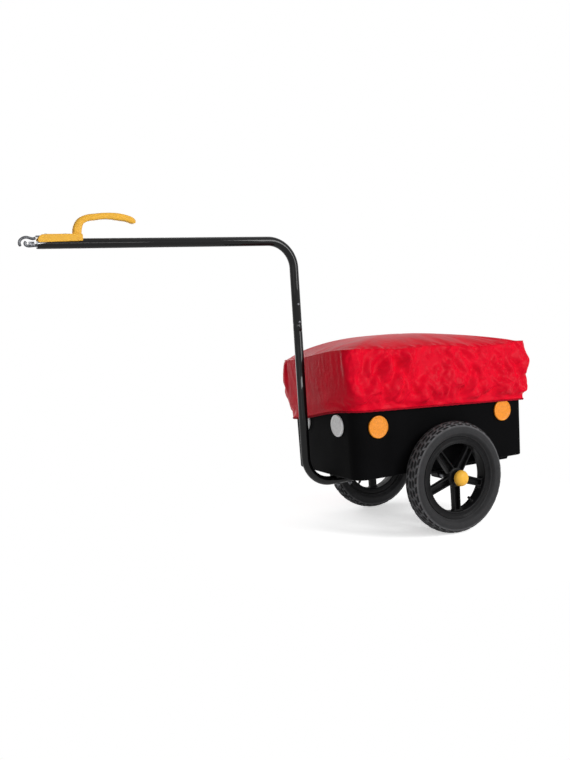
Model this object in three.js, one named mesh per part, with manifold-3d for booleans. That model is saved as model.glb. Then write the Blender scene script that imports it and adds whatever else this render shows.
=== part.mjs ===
// A luggage trailer for a bicycle: a moulded tub under a fitted cloth cover, two spoked wheels on one
// through axle, and a two-piece swan-neck drawbar that ends in a squeeze-handled coupling.
// Millimetres, +X forward to the bicycle, +Y left, +Z up. While it is built, X is zero at the axle;
// at the end the whole trailer is moved so that zero lies under the middle of its box.

import * as THREE from 'three';
import { mergeVertices } from 'three/addons/utils/BufferGeometryUtils.js';
import Module from 'manifold-3d';

const wasm = await Module();
wasm.setup();

// Clearances
const seatGap = 0.3; // between pieces that rest on each other
const runningGap = 0.2; // round what turns or slides
const cutOverrun = 4; // how far a cutter reaches past what it cuts
const mergeDistance = 1e-4;

// Facet counts
const tubeSides = 16;
const shaftSides = 16;
const rodSides = 8;
const bendSteps = 5;
const curveSteps = 2;

// Tyres
const tyreRadius = 158.5;
const tyreWidth = 57;
const tyreWall = 4;
const treadDepth = 4;
const treadPitches = 24;
const treadStepShares = [0, 0.5]; // where the blocks of each shoulder stand, the two shoulders in turn
const tyreOuterShares = [[0.16, 0.84], [0.42, 1], [0.74, 0.93], [1, 0.42]]; // [height, half width]
const tyreInnerShares = [[0.45, 1], [1, 0.45]]; // the same, inside the wall
const beadWidth = 4.5;
const innerTubeWidthShare = 0.78; // of the room inside the tyre
const innerTubeWall = 1.5;
const innerTubeSides = 6;
const innerTubeSteps = 20;

// Rims and hubs
const rimLipRadius = 117.8;
const rimHalfWidth = 19;
const rimFlange = 4.5;
const rimLipRound = 1.5;
const rimSeatRadius = 105;
const rimSeatTaper = 0.7;
const rimWellRadius = 101;
const rimWellHalfWidth = 8;
const rimInnerRadius = 96;
const rimInnerHalfWidth = 14;
const rimFaceRise = 2.5;
const rimDishRadius = 107;
const rimDishDepth = 2.5;
const rimSteps = 28;
const spokeCount = 5;
const spokeHubWidth = 24.5;
const spokeRimWidth = 22;
const spokeOuterFace = 9;
const spokeInnerFace = -7;
const spokeRidge = 4;
const spokeWeb = 4;
const spokePocketHubRadius = 27;
const spokePocketRimRadius = 93;
const windowHubRound = 7;
const windowRimRound = 8;
const hubRadius = 20;
const hubHalfLength = 26;
const hubBossRadius = 14.6;
const hubBossHeight = 3;

// Axle, bushes and what locates them
const axleRadius = 6;
const axleEndReach = 12; // past the hub boss root
const axleChamfer = 1;
const bushWall = 2.5;
const bushFlangeRadius = 11;
const bushFlange = 1.5;
const bushLength = 18;
const spacerRadius = 9.5;
const nutFlange = 1.5;
const nutFlangeRadius = 10.8;
const nutHeight = 8;
const nutAcrossCorners = 20.8;
const hexSides = 6;
const capRadius = 20;
const capWall = 2.6;
const capHeight = 18.7;
const capSkirt = 6;
const capSteps = 3;

// Valves
const valveAngle = 234; // degrees from forward, seen from the wheel's outer side
const valveRadius = 2.7;
const valveReach = 12; // inwards from the rim
const valveCapRadius = 4;
const valveCapLength = 9;
const valveCapCover = 6;

// Tub
const tubAboveAxle = 22.5;
const tyreClearance = 6.5; // from the foot of the tub's side to the tyre
const tubHeight = 327;
const tubBottomHalfWidth = 178;
const tubDraft = 4; // how much further out each wall stands at the rim
const tubFront = 298;
const tubRear = 289;
const tubWall = 3.5;
const tubCorners = { front: 40, rear: 12 };
const tubBottomRound = 5;
const tubRoundShare = 0.3; // where the middle of the bottom's rounding stands
const rimLipOut = 4;
const rimLipHeight = 10;
const tubSteps = { cornerSteps: 4, lengthSteps: 1, widthSteps: 1 };
const railInset = 39; // from the foot of the tub's side to the middle of a rail
const railWidth = 42;
const railDepth = 10;
const railFrontInset = 178;
const railRearInset = 35;
const railEndSlope = 8;
const seatInset = 18; // the moulded drawbar seat in the floor, from the tub's front
const seatLength = 90;
const seatHalfWidth = 32;
const seatDepth = 5;

// Axle brackets
const bracketWidth = 34;
const bracketEyeRadius = 13.5;
const bracketFlangeHalfLength = 34;
const bracketFlange = 6;
const bracketNeckHalfWidth = 16;
const bracketBoltSpacing = 52;

// Bolts, M6 on the brackets and the saddle
const boltRadius = 3;
const boltHeadCorner = 5.8;
const boltHeadHeight = 4;
const bracketBoltLength = 17;
const boltRoof = 2; // of the tub left over the bolt's end
const domeHeadRadius = 8;
const domeHeadHeight = 3.6;
const domeHeadShares = [[0, 0], [1, 0], [0.85, 0.6], [0.45, 1], [0, 1]];
const saddleNutHeight = 5.5;
const saddleNutCorner = 5.8;
const saddleBoltEnd = 3; // past its nut

// Drawbar
const drawbarRadius = 12.7;
const drawbarWall = 1.5;
const drawbarBend = 76;
const drawbarStandOff = 59.3; // from the tub's front to the upright's middle line
const drawbarRise = 692.7; // from the lower run's middle line to the upper run's
const drawbarReach = 697.7; // from the upright's middle line to the tube's front end
const drawbarRearEnd = 25;
const seamRise = 439.5; // over the lower run's middle line
const neckLength = 102;
const neckFit = 0.3;
const neckWall = 1.5;
const neckTaper = 8;
const plugFlange = 3;
const plugStem = 12;
const plugRound = 1.2;
const saddleHalfWidth = 17;
const saddleInset = 12; // from each end of the seat
const saddleWrap = 6; // how far the saddle comes down round the tube
const saddleBoltInset = 13; // from each end of the saddle
const noseCutLength = 49; // the oblique cut over the tube's front end
const noseCutRearHeight = 6.8; // over the tube's centre line
const noseCutFrontHeight = -2.7;

// Snap buttons that lock the two halves of the drawbar
const buttonRises = [75, 25]; // over the seam
const buttonRadius = 4;
const buttonProud = 3;
const buttonFlangeRadius = 5;
const buttonFlange = 1.5;
const buttonFlangeBack = 5.6; // from the tube's centre line
const buttonDomeShares = [[1, 0], [0.85, 0.6], [0.5, 0.9], [0, 1]];
const leafWidth = 5;
const leafThickness = 0.8;
const leafDrop = 20;
const leafRise = 4;
const leafFarSide = 8.8;

// Coupling lever
const leverSetback = 2; // behind the tube's front end
const leverLength = 108;
const pivotInset = 10; // from the lever's rear edge
const pivotHeight = 8.8; // over the tube's centre line
const pivotRadius = 2;
const pinHead = 1.2;
const pinHeadRadius = 3.4;
const leverHalfWidth = 16;
const leverSide = 2.8;
const leverTop = 22.3; // over the tube's centre line, like the next values
const leverBottomRear = 4.8;
const leverBottomFront = 2.2;
const leverRoof = 14;
const leverRelief = 17.4;
const leverFrontRound = 7;
const leverEdgeRound = 2.5;
const handleWidth = 20;
const handleSides = 12;
const handleSteps = 14;
const handleLength = 137.5; // behind the lever's rear edge
const handleHeight = 67.4; // over the tube's centre line
const handleHalfThickness = 11.5;
// [length share, height share, thickness share] along the handle's middle line, from its foot to its tip
const handleShares = [
  [-0.087, 0.208, 1], [-0.065, 0.564, 0.974], [-0.007, 0.786, 0.835], [0.102, 0.912, 0.748],
  [0.262, 0.964, 0.739], [0.473, 1, 0.713], [0.684, 0.969, 0.817], [0.851, 0.905, 0.757],
  [0.945, 0.825, 0.713], [1, 0.739, 0.435],
];

// Jaws and the block that carries the lower one
const tangInset = 27; // from the lever's rear edge
const tangOverrun = 3; // past the lever's front
const tangHalfWidth = 5;
const tangThickness = 3.6;
const tangHeight = 16.1; // of its underside over the tube's centre line
const jawRadius = 3.2;
const jawSteps = 15;
const jawReach = 39.9; // past the tube's front end
const jawHeight = 17.9; // over the tube's centre line
// [reach share, height share] along the middle of each jaw's bar
const upperJawShares = [
  [-0.1, 1], [0.038, 0.793], [0.175, 0.698], [0.351, 0.782], [0.564, 0.905],
  [0.789, 0.793], [0.962, 0.447], [1, 0.034], [0.935, -0.302],
];
const lowerJawShares = [
  [-0.476, -0.168], [-0.125, -0.168], [0.276, -0.257], [0.501, -0.268], [0.637, -0.145],
  [0.672, 0.112], [0.596, 0.346],
];
const anvilSetback = 5.5; // past the tube's front end
const anvilLength = 12.5;
const anvilTop = 5;
const anvilHalfWidth = 4.5;
const blockLength = 55;
const blockTop = 6;
const blockBoreDepth = 20;
const leverBoltInsets = [22, 68]; // from the lever's front
const leverBoltRadius = 2;
const leverBoltHead = 5;
const leverBoltDome = 2.4;
const leverBoltShares = [[1, 0.125], [0.8, 0.7], [0.4, 1], [0, 1]];
const leverBoltDepth = 5.6; // of the shank under the lever's top

// Return spring between the block and the lever
const springInset = 35; // from the tube's front end
const springRadius = 3.4;
const springWire = 0.6;
const springTurns = 3;
const springStepsPerTurn = 8;
const springWireSides = 5;

// Reflectors
const reflectorRadius = 31;
const reflectorThickness = 6;
const reflectorBevel = 1.4;
const reflectorSteps = 18;
const sideReflectorFrontInset = 73;
const sideReflectorRearInset = 74;
const sideReflectorDrop = 184; // below the tub's rim
const endReflectorInset = 83; // from the foot of the tub's side
const endReflectorDrop = 179;

// Cover
const coverThickness = 2;
const coverSteps = { cornerSteps: 6, lengthSteps: 9, widthSteps: 5 };
const coverCorners = { front: 46, rear: 18 };
const hemFrontDrop = 133; // below the tub's rim
const hemRearDrop = 155;
const coverEars = { front: 6, rear: 14 }; // how far the sewn corners stand up
const coverCrown = 58;
const coverHemClearance = 1.6; // from the tub's lip to the hem
const bulgeSide = 7; // how far the skirt swells out from the line of its hem
const bulgeFront = 17;
const bulgeRear = 11;
// [height share from hem to edge, bulge shares at the sides, front and rear]
const skirtShares = [
  [0, 0, 0, 0], [0.3, 0.57, 0.53, 0.55], [0.62, 1, 0.88, 1], [0.86, 0.86, 1, 0.91], [1, 0.14, 0.7, 0.45],
];
const domeShares = [0.93, 0.74, 0.48, 0.2]; // of the cover's plan, from the edge to the middle
const domePower = 2.4;
const foldDepth = 5;
const foldCount = 9;
const foldSwells = 3; // how often the folds grow and fade round the skirt
const foldBeat = 4;
const foldHemShare = 0.12;
const elasticRadius = 1.8;
const elasticSides = 5;
const elasticSteps = { cornerSteps: 5, lengthSteps: 2, widthSteps: 2 };

// Derived places
const axleHeight = tyreRadius;
const wheelPlane = tubBottomHalfWidth + tyreClearance + tyreWidth / 2;
const tubUnderside = axleHeight + tubAboveAxle;
const tubFloor = tubUnderside + tubWall;
const tubRim = tubUnderside + tubHeight;
const drawbarBore = drawbarRadius - drawbarWall;
const neckRadius = drawbarBore - neckFit;
const neckBore = neckRadius - neckWall;
const lipHalfWidth = tubBottomHalfWidth + tubDraft + rimLipOut;
const axleBore = axleRadius + runningGap;
const bushRadius = axleBore + bushWall;
const hubFace = hubHalfLength + bushFlange;
const railUnderside = tubUnderside - railDepth;
const flangeInside = rimHalfWidth - rimFlange;
const railHalfSpacing = tubBottomHalfWidth - railInset;
const railFront = tubFront - railFrontInset;
const railRear = tubRear - railRearInset;
const seatFront = tubFront - seatInset;
const seatRear = seatFront - seatLength;
const saddleFront = seatFront - saddleInset;
const saddleRear = seatRear + saddleInset;
const saddleBolts = { front: saddleFront - saddleBoltInset, rear: saddleRear + saddleBoltInset };
const drawbarUpright = tubFront + drawbarStandOff;
const drawbarTop = axleHeight + drawbarRise;
const drawbarFrontEnd = drawbarUpright + drawbarReach;
const drawbarSeam = axleHeight + seamRise;
const leverFront = drawbarFrontEnd - leverSetback;
const leverRear = leverFront - leverLength;
const pivotX = leverRear + pivotInset;
const tangRear = leverRear + tangInset;
const tangFront = leverFront + tangOverrun;
const coverEdge = tubRim;

const forward = new THREE.Vector3(1, 0, 0);
const leftward = new THREE.Vector3(0, 1, 0);
const upward = new THREE.Vector3(0, 0, 1);

// Solids

function triangleVolume(position, a, b, c) {
  const first = new THREE.Vector3().fromBufferAttribute(position, a);
  const second = new THREE.Vector3().fromBufferAttribute(position, b);
  const third = new THREE.Vector3().fromBufferAttribute(position, c);
  return first.dot(second.cross(third)) / 6;
}

// One closed skin: shared vertices merged, collapsed triangles dropped, faces pointing out.
function closedSkin(geometry) {
  const bare = geometry.clone();
  bare.deleteAttribute('normal');
  bare.deleteAttribute('uv');
  const merged = mergeVertices(bare, mergeDistance);
  const corners = merged.index.array;
  const kept = [];
  let volume = 0;
  for (let i = 0; i < corners.length; i += 3) {
    const [a, b, c] = [corners[i], corners[i + 1], corners[i + 2]];
    if (a === b || b === c || c === a) continue;
    kept.push([a, b, c]);
    volume += triangleVolume(merged.attributes.position, a, b, c);
  }
  merged.setIndex(kept.flatMap(([a, b, c]) => (volume < 0 ? [a, c, b] : [a, b, c])));
  return merged;
}

function solidOf(geometry) {
  const skin = closedSkin(geometry);
  return new wasm.Manifold(new wasm.Mesh({
    numProp: 3,
    vertProperties: new Float32Array(skin.attributes.position.array),
    triVerts: new Uint32Array(skin.index.array),
  }));
}

function geometryOf(solid) {
  const mesh = solid.getMesh();
  const geometry = new THREE.BufferGeometry();
  geometry.setAttribute('position', new THREE.BufferAttribute(new Float32Array(mesh.vertProperties), 3));
  geometry.setIndex(new THREE.BufferAttribute(new Uint32Array(mesh.triVerts), 1));
  return geometry;
}

function join(geometries) {
  return geometryOf(geometries.map(solidOf).reduce((whole, piece) => whole.add(piece)));
}

function cut(geometry, cutters) {
  return geometryOf(cutters.map(solidOf).reduce((whole, cutter) => whole.subtract(cutter), solidOf(geometry)));
}

// Joins a row of rings with the same number of points. An open row gets a cap at each end.
function skinRings(rings, endless = false) {
  const count = rings[0].length;
  const positions = rings.flat().flatMap((point) => [point.x, point.y, point.z]);
  const triangles = [];
  const strips = endless ? rings.length : rings.length - 1;
  for (let r = 0; r < strips; r += 1) {
    const low = r * count;
    const high = ((r + 1) % rings.length) * count;
    for (let i = 0; i < count; i += 1) {
      const next = (i + 1) % count;
      triangles.push(low + i, low + next, high + next, low + i, high + next, high + i);
    }
  }
  if (!endless) {
    for (const [ring, first, turned] of [[rings[0], 0, true], [rings.at(-1), (rings.length - 1) * count, false]]) {
      const middle = ring.reduce((sum, point) => sum.add(point), new THREE.Vector3()).divideScalar(count);
      const hub = positions.length / 3;
      positions.push(middle.x, middle.y, middle.z);
      for (let i = 0; i < count; i += 1) {
        const next = (i + 1) % count;
        triangles.push(...(turned ? [hub, first + next, first + i] : [hub, first + i, first + next]));
      }
    }
  }
  const geometry = new THREE.BufferGeometry();
  geometry.setAttribute('position', new THREE.Float32BufferAttribute(positions, 3));
  geometry.setIndex(triangles);
  return closedSkin(geometry);
}

// A profile of [radius, height] points turned about Y.
function turned(profile, steps) {
  const points = profile.map(([radius, height]) => new THREE.Vector2(radius, height));
  return closedSkin(new THREE.LatheGeometry(points, steps));
}

function closedLoop(profile) {
  return [...profile, profile[0]];
}

// Turns a geometry made about Y so that it stands along another axis.
function along(axis, geometry) {
  return geometry.applyQuaternion(new THREE.Quaternion().setFromUnitVectors(leftward, axis));
}

function disc(radius, length, steps) {
  return new THREE.CylinderGeometry(radius, radius, length, steps);
}

// A round cutter or shaft between two points.
function rodBetween(start, end, radius, steps) {
  const span = new THREE.Vector3().subVectors(end, start);
  const rod = along(span.clone().normalize(), disc(radius, span.length(), steps));
  const middle = new THREE.Vector3().addVectors(start, end).divideScalar(2);
  return rod.translate(middle.x, middle.y, middle.z);
}

function boxBetween(low, high) {
  const size = high.map((value, i) => value - low[i]);
  const middle = high.map((value, i) => (value + low[i]) / 2);
  return new THREE.BoxGeometry(...size).translate(...middle);
}

// A shape drawn as [X, Z] points or curves, thickened both ways along Y.
function sideSlab(shape, halfWidth, bevel = 0) {
  const geometry = new THREE.ExtrudeGeometry(shape, {
    depth: 2 * (halfWidth - bevel),
    bevelEnabled: bevel > 0,
    bevelThickness: bevel,
    bevelSize: bevel,
    bevelOffset: -bevel,
    bevelSegments: 1,
    curveSegments: curveSteps,
  });
  return geometry.translate(0, 0, bevel - halfWidth).rotateX(Math.PI / 2);
}

function shapeOf(points) {
  return new THREE.Shape(points.map(([x, y]) => new THREE.Vector2(x, y)));
}

// Ring of a round bar at a place on a path in the XZ plane.
function barRing({ place, heading }, radius, sides) {
  const across = new THREE.Vector3().crossVectors(leftward, heading);
  return Array.from({ length: sides }, (_, i) => {
    const angle = (2 * Math.PI * i) / sides;
    return place.clone()
      .addScaledVector(across, radius * Math.cos(angle))
      .addScaledVector(leftward, radius * Math.sin(angle));
  });
}

// Places on a quarter bend about a centre, from one angle to another, in the XZ plane.
function bendPlaces(centreX, centreZ, fromAngle, toAngle, turn) {
  return Array.from({ length: bendSteps + 1 }, (_, i) => {
    const angle = THREE.MathUtils.lerp(fromAngle, toAngle, i / bendSteps);
    return {
      place: new THREE.Vector3(centreX + drawbarBend * Math.cos(angle), 0, centreZ + drawbarBend * Math.sin(angle)),
      heading: new THREE.Vector3(-turn * Math.sin(angle), 0, turn * Math.cos(angle)),
    };
  });
}

function straightPlace(x, z, heading) {
  return { place: new THREE.Vector3(x, 0, z), heading };
}

// A bar of round section along a smooth line of [X, Z] points.
function bentBar(line, radius) {
  const curve = new THREE.CatmullRomCurve3(line.map(([x, z]) => new THREE.Vector3(x, 0, z)));
  const rings = Array.from({ length: jawSteps + 1 }, (_, i) => {
    const share = i / jawSteps;
    return barRing({ place: curve.getPointAt(share), heading: curve.getTangentAt(share) }, radius, rodSides);
  });
  return skinRings(rings);
}

// Points round a rectangle with round corners, with the outward direction at each.
function roundedRectangle(rear, front, halfWidth, corners, { cornerSteps, lengthSteps, widthSteps }) {
  const length = front - rear - corners.front - corners.rear;
  const frontWidth = 2 * (halfWidth - corners.front);
  const rearWidth = 2 * (halfWidth - corners.rear);
  const sides = [
    { turn: corners.front, ends: [front, -halfWidth], to: [0, 1], run: frontWidth, steps: widthSteps },
    { turn: corners.front, ends: [front, halfWidth], to: [-1, 0], run: length, steps: lengthSteps },
    { turn: corners.rear, ends: [rear, halfWidth], to: [0, -1], run: rearWidth, steps: widthSteps },
    { turn: corners.rear, ends: [rear, -halfWidth], to: [1, 0], run: length, steps: lengthSteps },
  ];
  return sides.flatMap(({ turn, ends, to, run, steps }) => {
    const facing = Math.atan2(-to[0], to[1]);
    const centre = [ends[0] - Math.sign(ends[0]) * turn, ends[1] - Math.sign(ends[1]) * turn];
    const bend = Array.from({ length: cornerSteps }, (_, i) => {
      const angle = facing - (Math.PI / 2) * (1 - i / cornerSteps);
      return { out: new THREE.Vector2(Math.cos(angle), Math.sin(angle)), moved: 0 };
    });
    const straight = Array.from({ length: steps }, (_, i) => (
      { out: new THREE.Vector2(Math.cos(facing), Math.sin(facing)), moved: (run * i) / steps }));
    return [...bend, ...straight].map(({ out, moved }) => ({
      out,
      point: new THREE.Vector2(
        centre[0] + turn * out.x + moved * to[0], centre[1] + turn * out.y + moved * to[1],
      ),
    }));
  });
}

// Finishes

const finishes = {
  tub: { color: 0x131313, roughness: 0.5, metalness: 0 },
  drawbar: { color: 0x101012, roughness: 0.25, metalness: 0.1 },
  steel: { color: 0xb4b7ba, roughness: 0.35, metalness: 0.9 },
  rubber: { color: 0x2f2f30, roughness: 0.85, metalness: 0 },
  innerTube: { color: 0x1b1b1b, roughness: 0.7, metalness: 0 },
  rim: { color: 0x161617, roughness: 0.45, metalness: 0 },
  bush: { color: 0xe4e2da, roughness: 0.5, metalness: 0 },
  blackPlastic: { color: 0x181818, roughness: 0.5, metalness: 0 },
  yellow: { color: 0xfbb040, roughness: 0.4, metalness: 0 },
  amber: { color: 0xf79a28, roughness: 0.25, metalness: 0 },
  red: { color: 0xc01020, roughness: 0.25, metalness: 0 },
  white: { color: 0xd4d4d4, roughness: 0.25, metalness: 0 },
  cloth: { color: 0xc8102a, roughness: 0.6, metalness: 0 },
  elastic: { color: 0x8c1220, roughness: 0.8, metalness: 0 },
};

function piece(name, geometry, finish) {
  const skin = closedSkin(geometry);
  skin.computeVertexNormals();
  const mesh = new THREE.Mesh(skin, new THREE.MeshStandardMaterial({ name: finish, ...finishes[finish] }));
  mesh.name = name;
  return mesh;
}

// Wheels, made about their own middle with the outer side at +Y

function rimSide(side) {
  return [
    [rimInnerRadius, side * rimInnerHalfWidth],
    [rimInnerRadius + rimFaceRise, side * (rimHalfWidth - rimFaceRise / 2)],
    [rimDishRadius, side * (rimHalfWidth - rimDishDepth)],
    [rimLipRadius - rimLipRound, side * rimHalfWidth],
    [rimLipRadius, side * (rimHalfWidth - rimLipRound)],
    [rimLipRadius, side * flangeInside],
    [rimSeatRadius, side * (flangeInside - rimSeatTaper)],
    [rimWellRadius, side * rimWellHalfWidth],
  ];
}

function spokeHalfWidth(radius) {
  const share = (radius - hubRadius) / (rimInnerRadius - hubRadius);
  return THREE.MathUtils.lerp(spokeHubWidth, spokeRimWidth, share) / 2;
}

// The opening between two spokes, with its middle along +X. Its sides run parallel to the spokes.
function windowShape() {
  const halfPitch = Math.PI / spokeCount;
  const edgeAt = (radius, side) => {
    const reach = Math.sqrt(radius ** 2 - spokeHalfWidth(radius) ** 2);
    const point = new THREE.Vector2(reach, spokeHalfWidth(radius));
    point.rotateAround(new THREE.Vector2(), -halfPitch);
    return new THREE.Vector2(point.x, side * point.y);
  };
  const tipRadius = spokeHalfWidth(hubRadius) / Math.sin(halfPitch);
  const shape = new THREE.Shape();
  const low = edgeAt(tipRadius + windowHubRound, 1);
  const lowFar = edgeAt(rimInnerRadius - windowRimRound, 1);
  const lowCorner = edgeAt(rimInnerRadius, 1);
  const high = edgeAt(tipRadius + windowHubRound, -1);
  const highFar = edgeAt(rimInnerRadius - windowRimRound, -1);
  const highCorner = edgeAt(rimInnerRadius, -1);
  const arcEnd = Math.abs(Math.atan2(lowCorner.y, lowCorner.x)) - windowRimRound / rimInnerRadius;
  shape.moveTo(low.x, low.y);
  shape.lineTo(lowFar.x, lowFar.y);
  shape.quadraticCurveTo(
    lowCorner.x, lowCorner.y, rimInnerRadius * Math.cos(arcEnd), -rimInnerRadius * Math.sin(arcEnd),
  );
  shape.absarc(0, 0, rimInnerRadius, -arcEnd, arcEnd, false);
  shape.quadraticCurveTo(highCorner.x, highCorner.y, highFar.x, highFar.y);
  shape.lineTo(high.x, high.y);
  shape.quadraticCurveTo(tipRadius, 0, low.x, low.y);
  return shape;
}

// The sunk middle of a spoke, with the spoke along +X.
function pocketShape() {
  const near = spokeHalfWidth(spokePocketHubRadius) - spokeRidge;
  const far = spokeHalfWidth(spokePocketRimRadius) - spokeRidge;
  return shapeOf([
    [spokePocketHubRadius, -near], [spokePocketRimRadius, -far],
    [spokePocketRimRadius, far], [spokePocketHubRadius, near],
  ]);
}

// A shape in the wheel's plane, from one face to the other, turned by an angle about the axle.
function wheelSlab(shape, innerFace, outerFace, angle = 0) {
  const slab = new THREE.ExtrudeGeometry(shape, {
    depth: outerFace - innerFace,
    bevelEnabled: false,
    curveSegments: curveSteps,
  });
  return slab.translate(0, 0, -outerFace).rotateX(Math.PI / 2).rotateY(-angle);
}

function rimGeometry() {
  const ring = turned(closedLoop([...rimSide(1), ...rimSide(-1).reverse()]), rimSteps);
  const plateRadius = (rimInnerRadius + rimWellRadius) / 2;
  const plate = along(leftward, disc(plateRadius, spokeOuterFace - spokeInnerFace, rimSteps))
    .translate(0, (spokeOuterFace + spokeInnerFace) / 2, 0);
  const hub = turned([
    [0, -hubHalfLength], [hubRadius, -hubHalfLength], [hubRadius, hubHalfLength],
    [hubBossRadius, hubHalfLength], [hubBossRadius, hubHalfLength + hubBossHeight],
    [0, hubHalfLength + hubBossHeight],
  ], tubeSides);
  const down = -Math.PI / 2;
  const pitch = (2 * Math.PI) / spokeCount;
  const windows = Array.from({ length: spokeCount }, (_, i) => wheelSlab(
    windowShape(), spokeInnerFace - cutOverrun, spokeOuterFace + cutOverrun, down + (i + 0.5) * pitch,
  ));
  const pockets = Array.from({ length: spokeCount }, (_, i) => wheelSlab(
    pocketShape(), spokeInnerFace + spokeWeb, spokeOuterFace + cutOverrun, down + i * pitch,
  ));
  const bore = disc(bushRadius + seatGap, 2 * (hubHalfLength + hubBossHeight + cutOverrun), shaftSides);
  const flangeSeat = disc(bushFlangeRadius + seatGap, hubBossHeight + cutOverrun, shaftSides)
    .translate(0, hubHalfLength + (hubBossHeight + cutOverrun) / 2, 0);
  const valveHole = rodBetween(
    onWheel(rimInnerRadius - cutOverrun), onWheel(rimSeatRadius + cutOverrun), valveRadius + seatGap, rodSides,
  );
  return cut(join([cut(plate, windows), ring, hub]), [...pockets, bore, flangeSeat, valveHole]);
}

// A place in the wheel's plane on the line of the valve.
function onWheel(radius) {
  const angle = THREE.MathUtils.degToRad(valveAngle);
  return new THREE.Vector3(radius * Math.cos(angle), 0, radius * Math.sin(angle));
}

// Half the tyre's section, from the bead out over the tread, or back inside the wall.
function tyreOutside() {
  const crownHeight = tyreRadius - rimLipRadius;
  const lipClear = rimLipRadius + 2 * seatGap;
  return [
    [rimSeatRadius + 2 * seatGap, flangeInside - rimSeatTaper - seatGap - beadWidth / 2],
    [lipClear, flangeInside - seatGap],
    ...tyreOuterShares.map(([height, width]) => [rimLipRadius + height * crownHeight, (width * tyreWidth) / 2]),
  ];
}

function tyreInside() {
  const crownHeight = tyreRadius - treadDepth - tyreWall - rimLipRadius;
  const halfWidth = tyreWidth / 2 - tyreWall;
  return tyreInnerShares
    .map(([height, width]) => [rimLipRadius + height * crownHeight, width * halfWidth]).reverse();
}

function tyreGeometry() {
  const outside = tyreOutside();
  const inside = tyreInside();
  const mirrored = (points) => points.map(([radius, across]) => [radius, -across]).reverse();
  const section = [...outside, ...mirrored(outside), ...mirrored(inside), ...inside]
    .map(([radius, across], i) => ({ radius, across, isBlock: i === outside.length - 2 || i === outside.length + 1 }));
  const pitch = (2 * Math.PI) / treadPitches;
  const rings = [];
  for (let p = 0; p < treadPitches; p += 1) {
    treadStepShares.forEach((share, step) => {
      const angle = (p + share) * pitch;
      rings.push(section.map(({ radius, across, isBlock }) => {
        const grooveStep = across > 0 ? 1 : 0;
        const sunk = isBlock && step === grooveStep ? treadDepth : 0;
        const reach = radius - sunk;
        const inset = across - Math.sign(across) * sunk;
        return new THREE.Vector3(reach * Math.cos(angle), inset, reach * Math.sin(angle));
      }));
    });
  }
  return skinRings(rings, true);
}

// A hollow ring of air with its wall, open through the valve stem.
function innerTubeGeometry() {
  const top = tyreRadius - treadDepth - tyreWall - 3 * seatGap;
  const bottom = rimLipRadius + seatGap;
  const middle = (top + bottom) / 2;
  const halfWidth = innerTubeWidthShare * (tyreWidth / 2 - tyreWall);
  const ring = (inset) => turned(closedLoop(Array.from({ length: innerTubeSides }, (_, i) => {
    const angle = (2 * Math.PI * i) / innerTubeSides;
    return [middle + (top - middle - inset) * Math.cos(angle), (halfWidth - inset) * Math.sin(angle)];
  })), innerTubeSteps);
  const stemEnd = rimInnerRadius - valveReach;
  const stem = rodBetween(onWheel(stemEnd), onWheel(middle), valveRadius, rodSides);
  const airWay = rodBetween(onWheel(stemEnd - cutOverrun), onWheel(middle), valveRadius / 2, rodSides);
  return cut(join([ring(0), stem]), [ring(innerTubeWall), airWay]);
}

function valveCapGeometry() {
  const open = rimInnerRadius - valveReach + valveCapCover;
  const cap = rodBetween(onWheel(open - valveCapLength), onWheel(open), valveCapRadius, rodSides);
  const bore = rodBetween(
    onWheel(rimInnerRadius - valveReach - seatGap), onWheel(open + cutOverrun), valveRadius + seatGap, rodSides,
  );
  return cut(cap, [bore]);
}

function bushGeometry(side) {
  return turned(closedLoop([
    [axleBore, side * hubFace], [bushFlangeRadius, side * hubFace],
    [bushFlangeRadius, side * (hubHalfLength + seatGap)], [bushRadius, side * (hubHalfLength + seatGap)],
    [bushRadius, side * (hubFace - bushLength)], [axleBore, side * (hubFace - bushLength)],
  ]), shaftSides);
}

// A push-on dome over the nut, gripping the hub's boss.
function hubCapGeometry() {
  const open = hubHalfLength + seatGap;
  const dome = (radius, foot, top) => Array.from({ length: capSteps + 1 }, (_, i) => {
    const angle = (Math.PI / 2) * (i / capSteps);
    return [radius * Math.cos(angle), foot + (top - foot) * Math.sin(angle)];
  });
  const outer = dome(capRadius, open + capSkirt, open + capHeight);
  const inner = dome(hubBossRadius + seatGap, open + capSkirt, open + capHeight - capWall).reverse();
  return turned([...inner, [hubBossRadius + seatGap, open], [capRadius, open], ...outer], tubeSides);
}

function wheel(side, direction) {
  const group = new THREE.Group();
  group.add(
    piece(`${side}_tyre`, tyreGeometry(), 'rubber'),
    piece(`${side}_inner_tube`, innerTubeGeometry(), 'innerTube'),
    piece(`${side}_rim`, rimGeometry(), 'rim'),
    piece(`${side}_bush_inner`, bushGeometry(-1), 'bush'),
    piece(`${side}_bush_outer`, bushGeometry(1), 'bush'),
    piece(`${side}_hub_cap`, hubCapGeometry(), 'yellow'),
    piece(`${side}_valve_cap`, valveCapGeometry(), 'blackPlastic'),
  );
  group.position.set(0, direction * wheelPlane, axleHeight);
  group.rotation.z = direction > 0 ? 0 : Math.PI;
  return group;
}

// Axle set

function axleGeometry() {
  const end = wheelPlane + hubHalfLength + axleEndReach;
  return turned([
    [0, -end], [axleRadius - axleChamfer, -end], [axleRadius, -end + axleChamfer],
    [axleRadius, end - axleChamfer], [axleRadius - axleChamfer, end], [0, end],
  ], shaftSides);
}

function axleNutGeometry() {
  const hex = disc(nutAcrossCorners / 2, nutHeight + nutFlange, hexSides)
    .translate(0, (nutHeight + nutFlange) / 2, 0);
  const flange = disc(nutFlangeRadius, nutFlange, shaftSides).translate(0, nutFlange / 2, 0);
  const bore = disc(axleRadius + seatGap, 2 * (nutHeight + nutFlange + cutOverrun), shaftSides);
  return cut(join([flange, hex]), [bore]);
}

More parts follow.
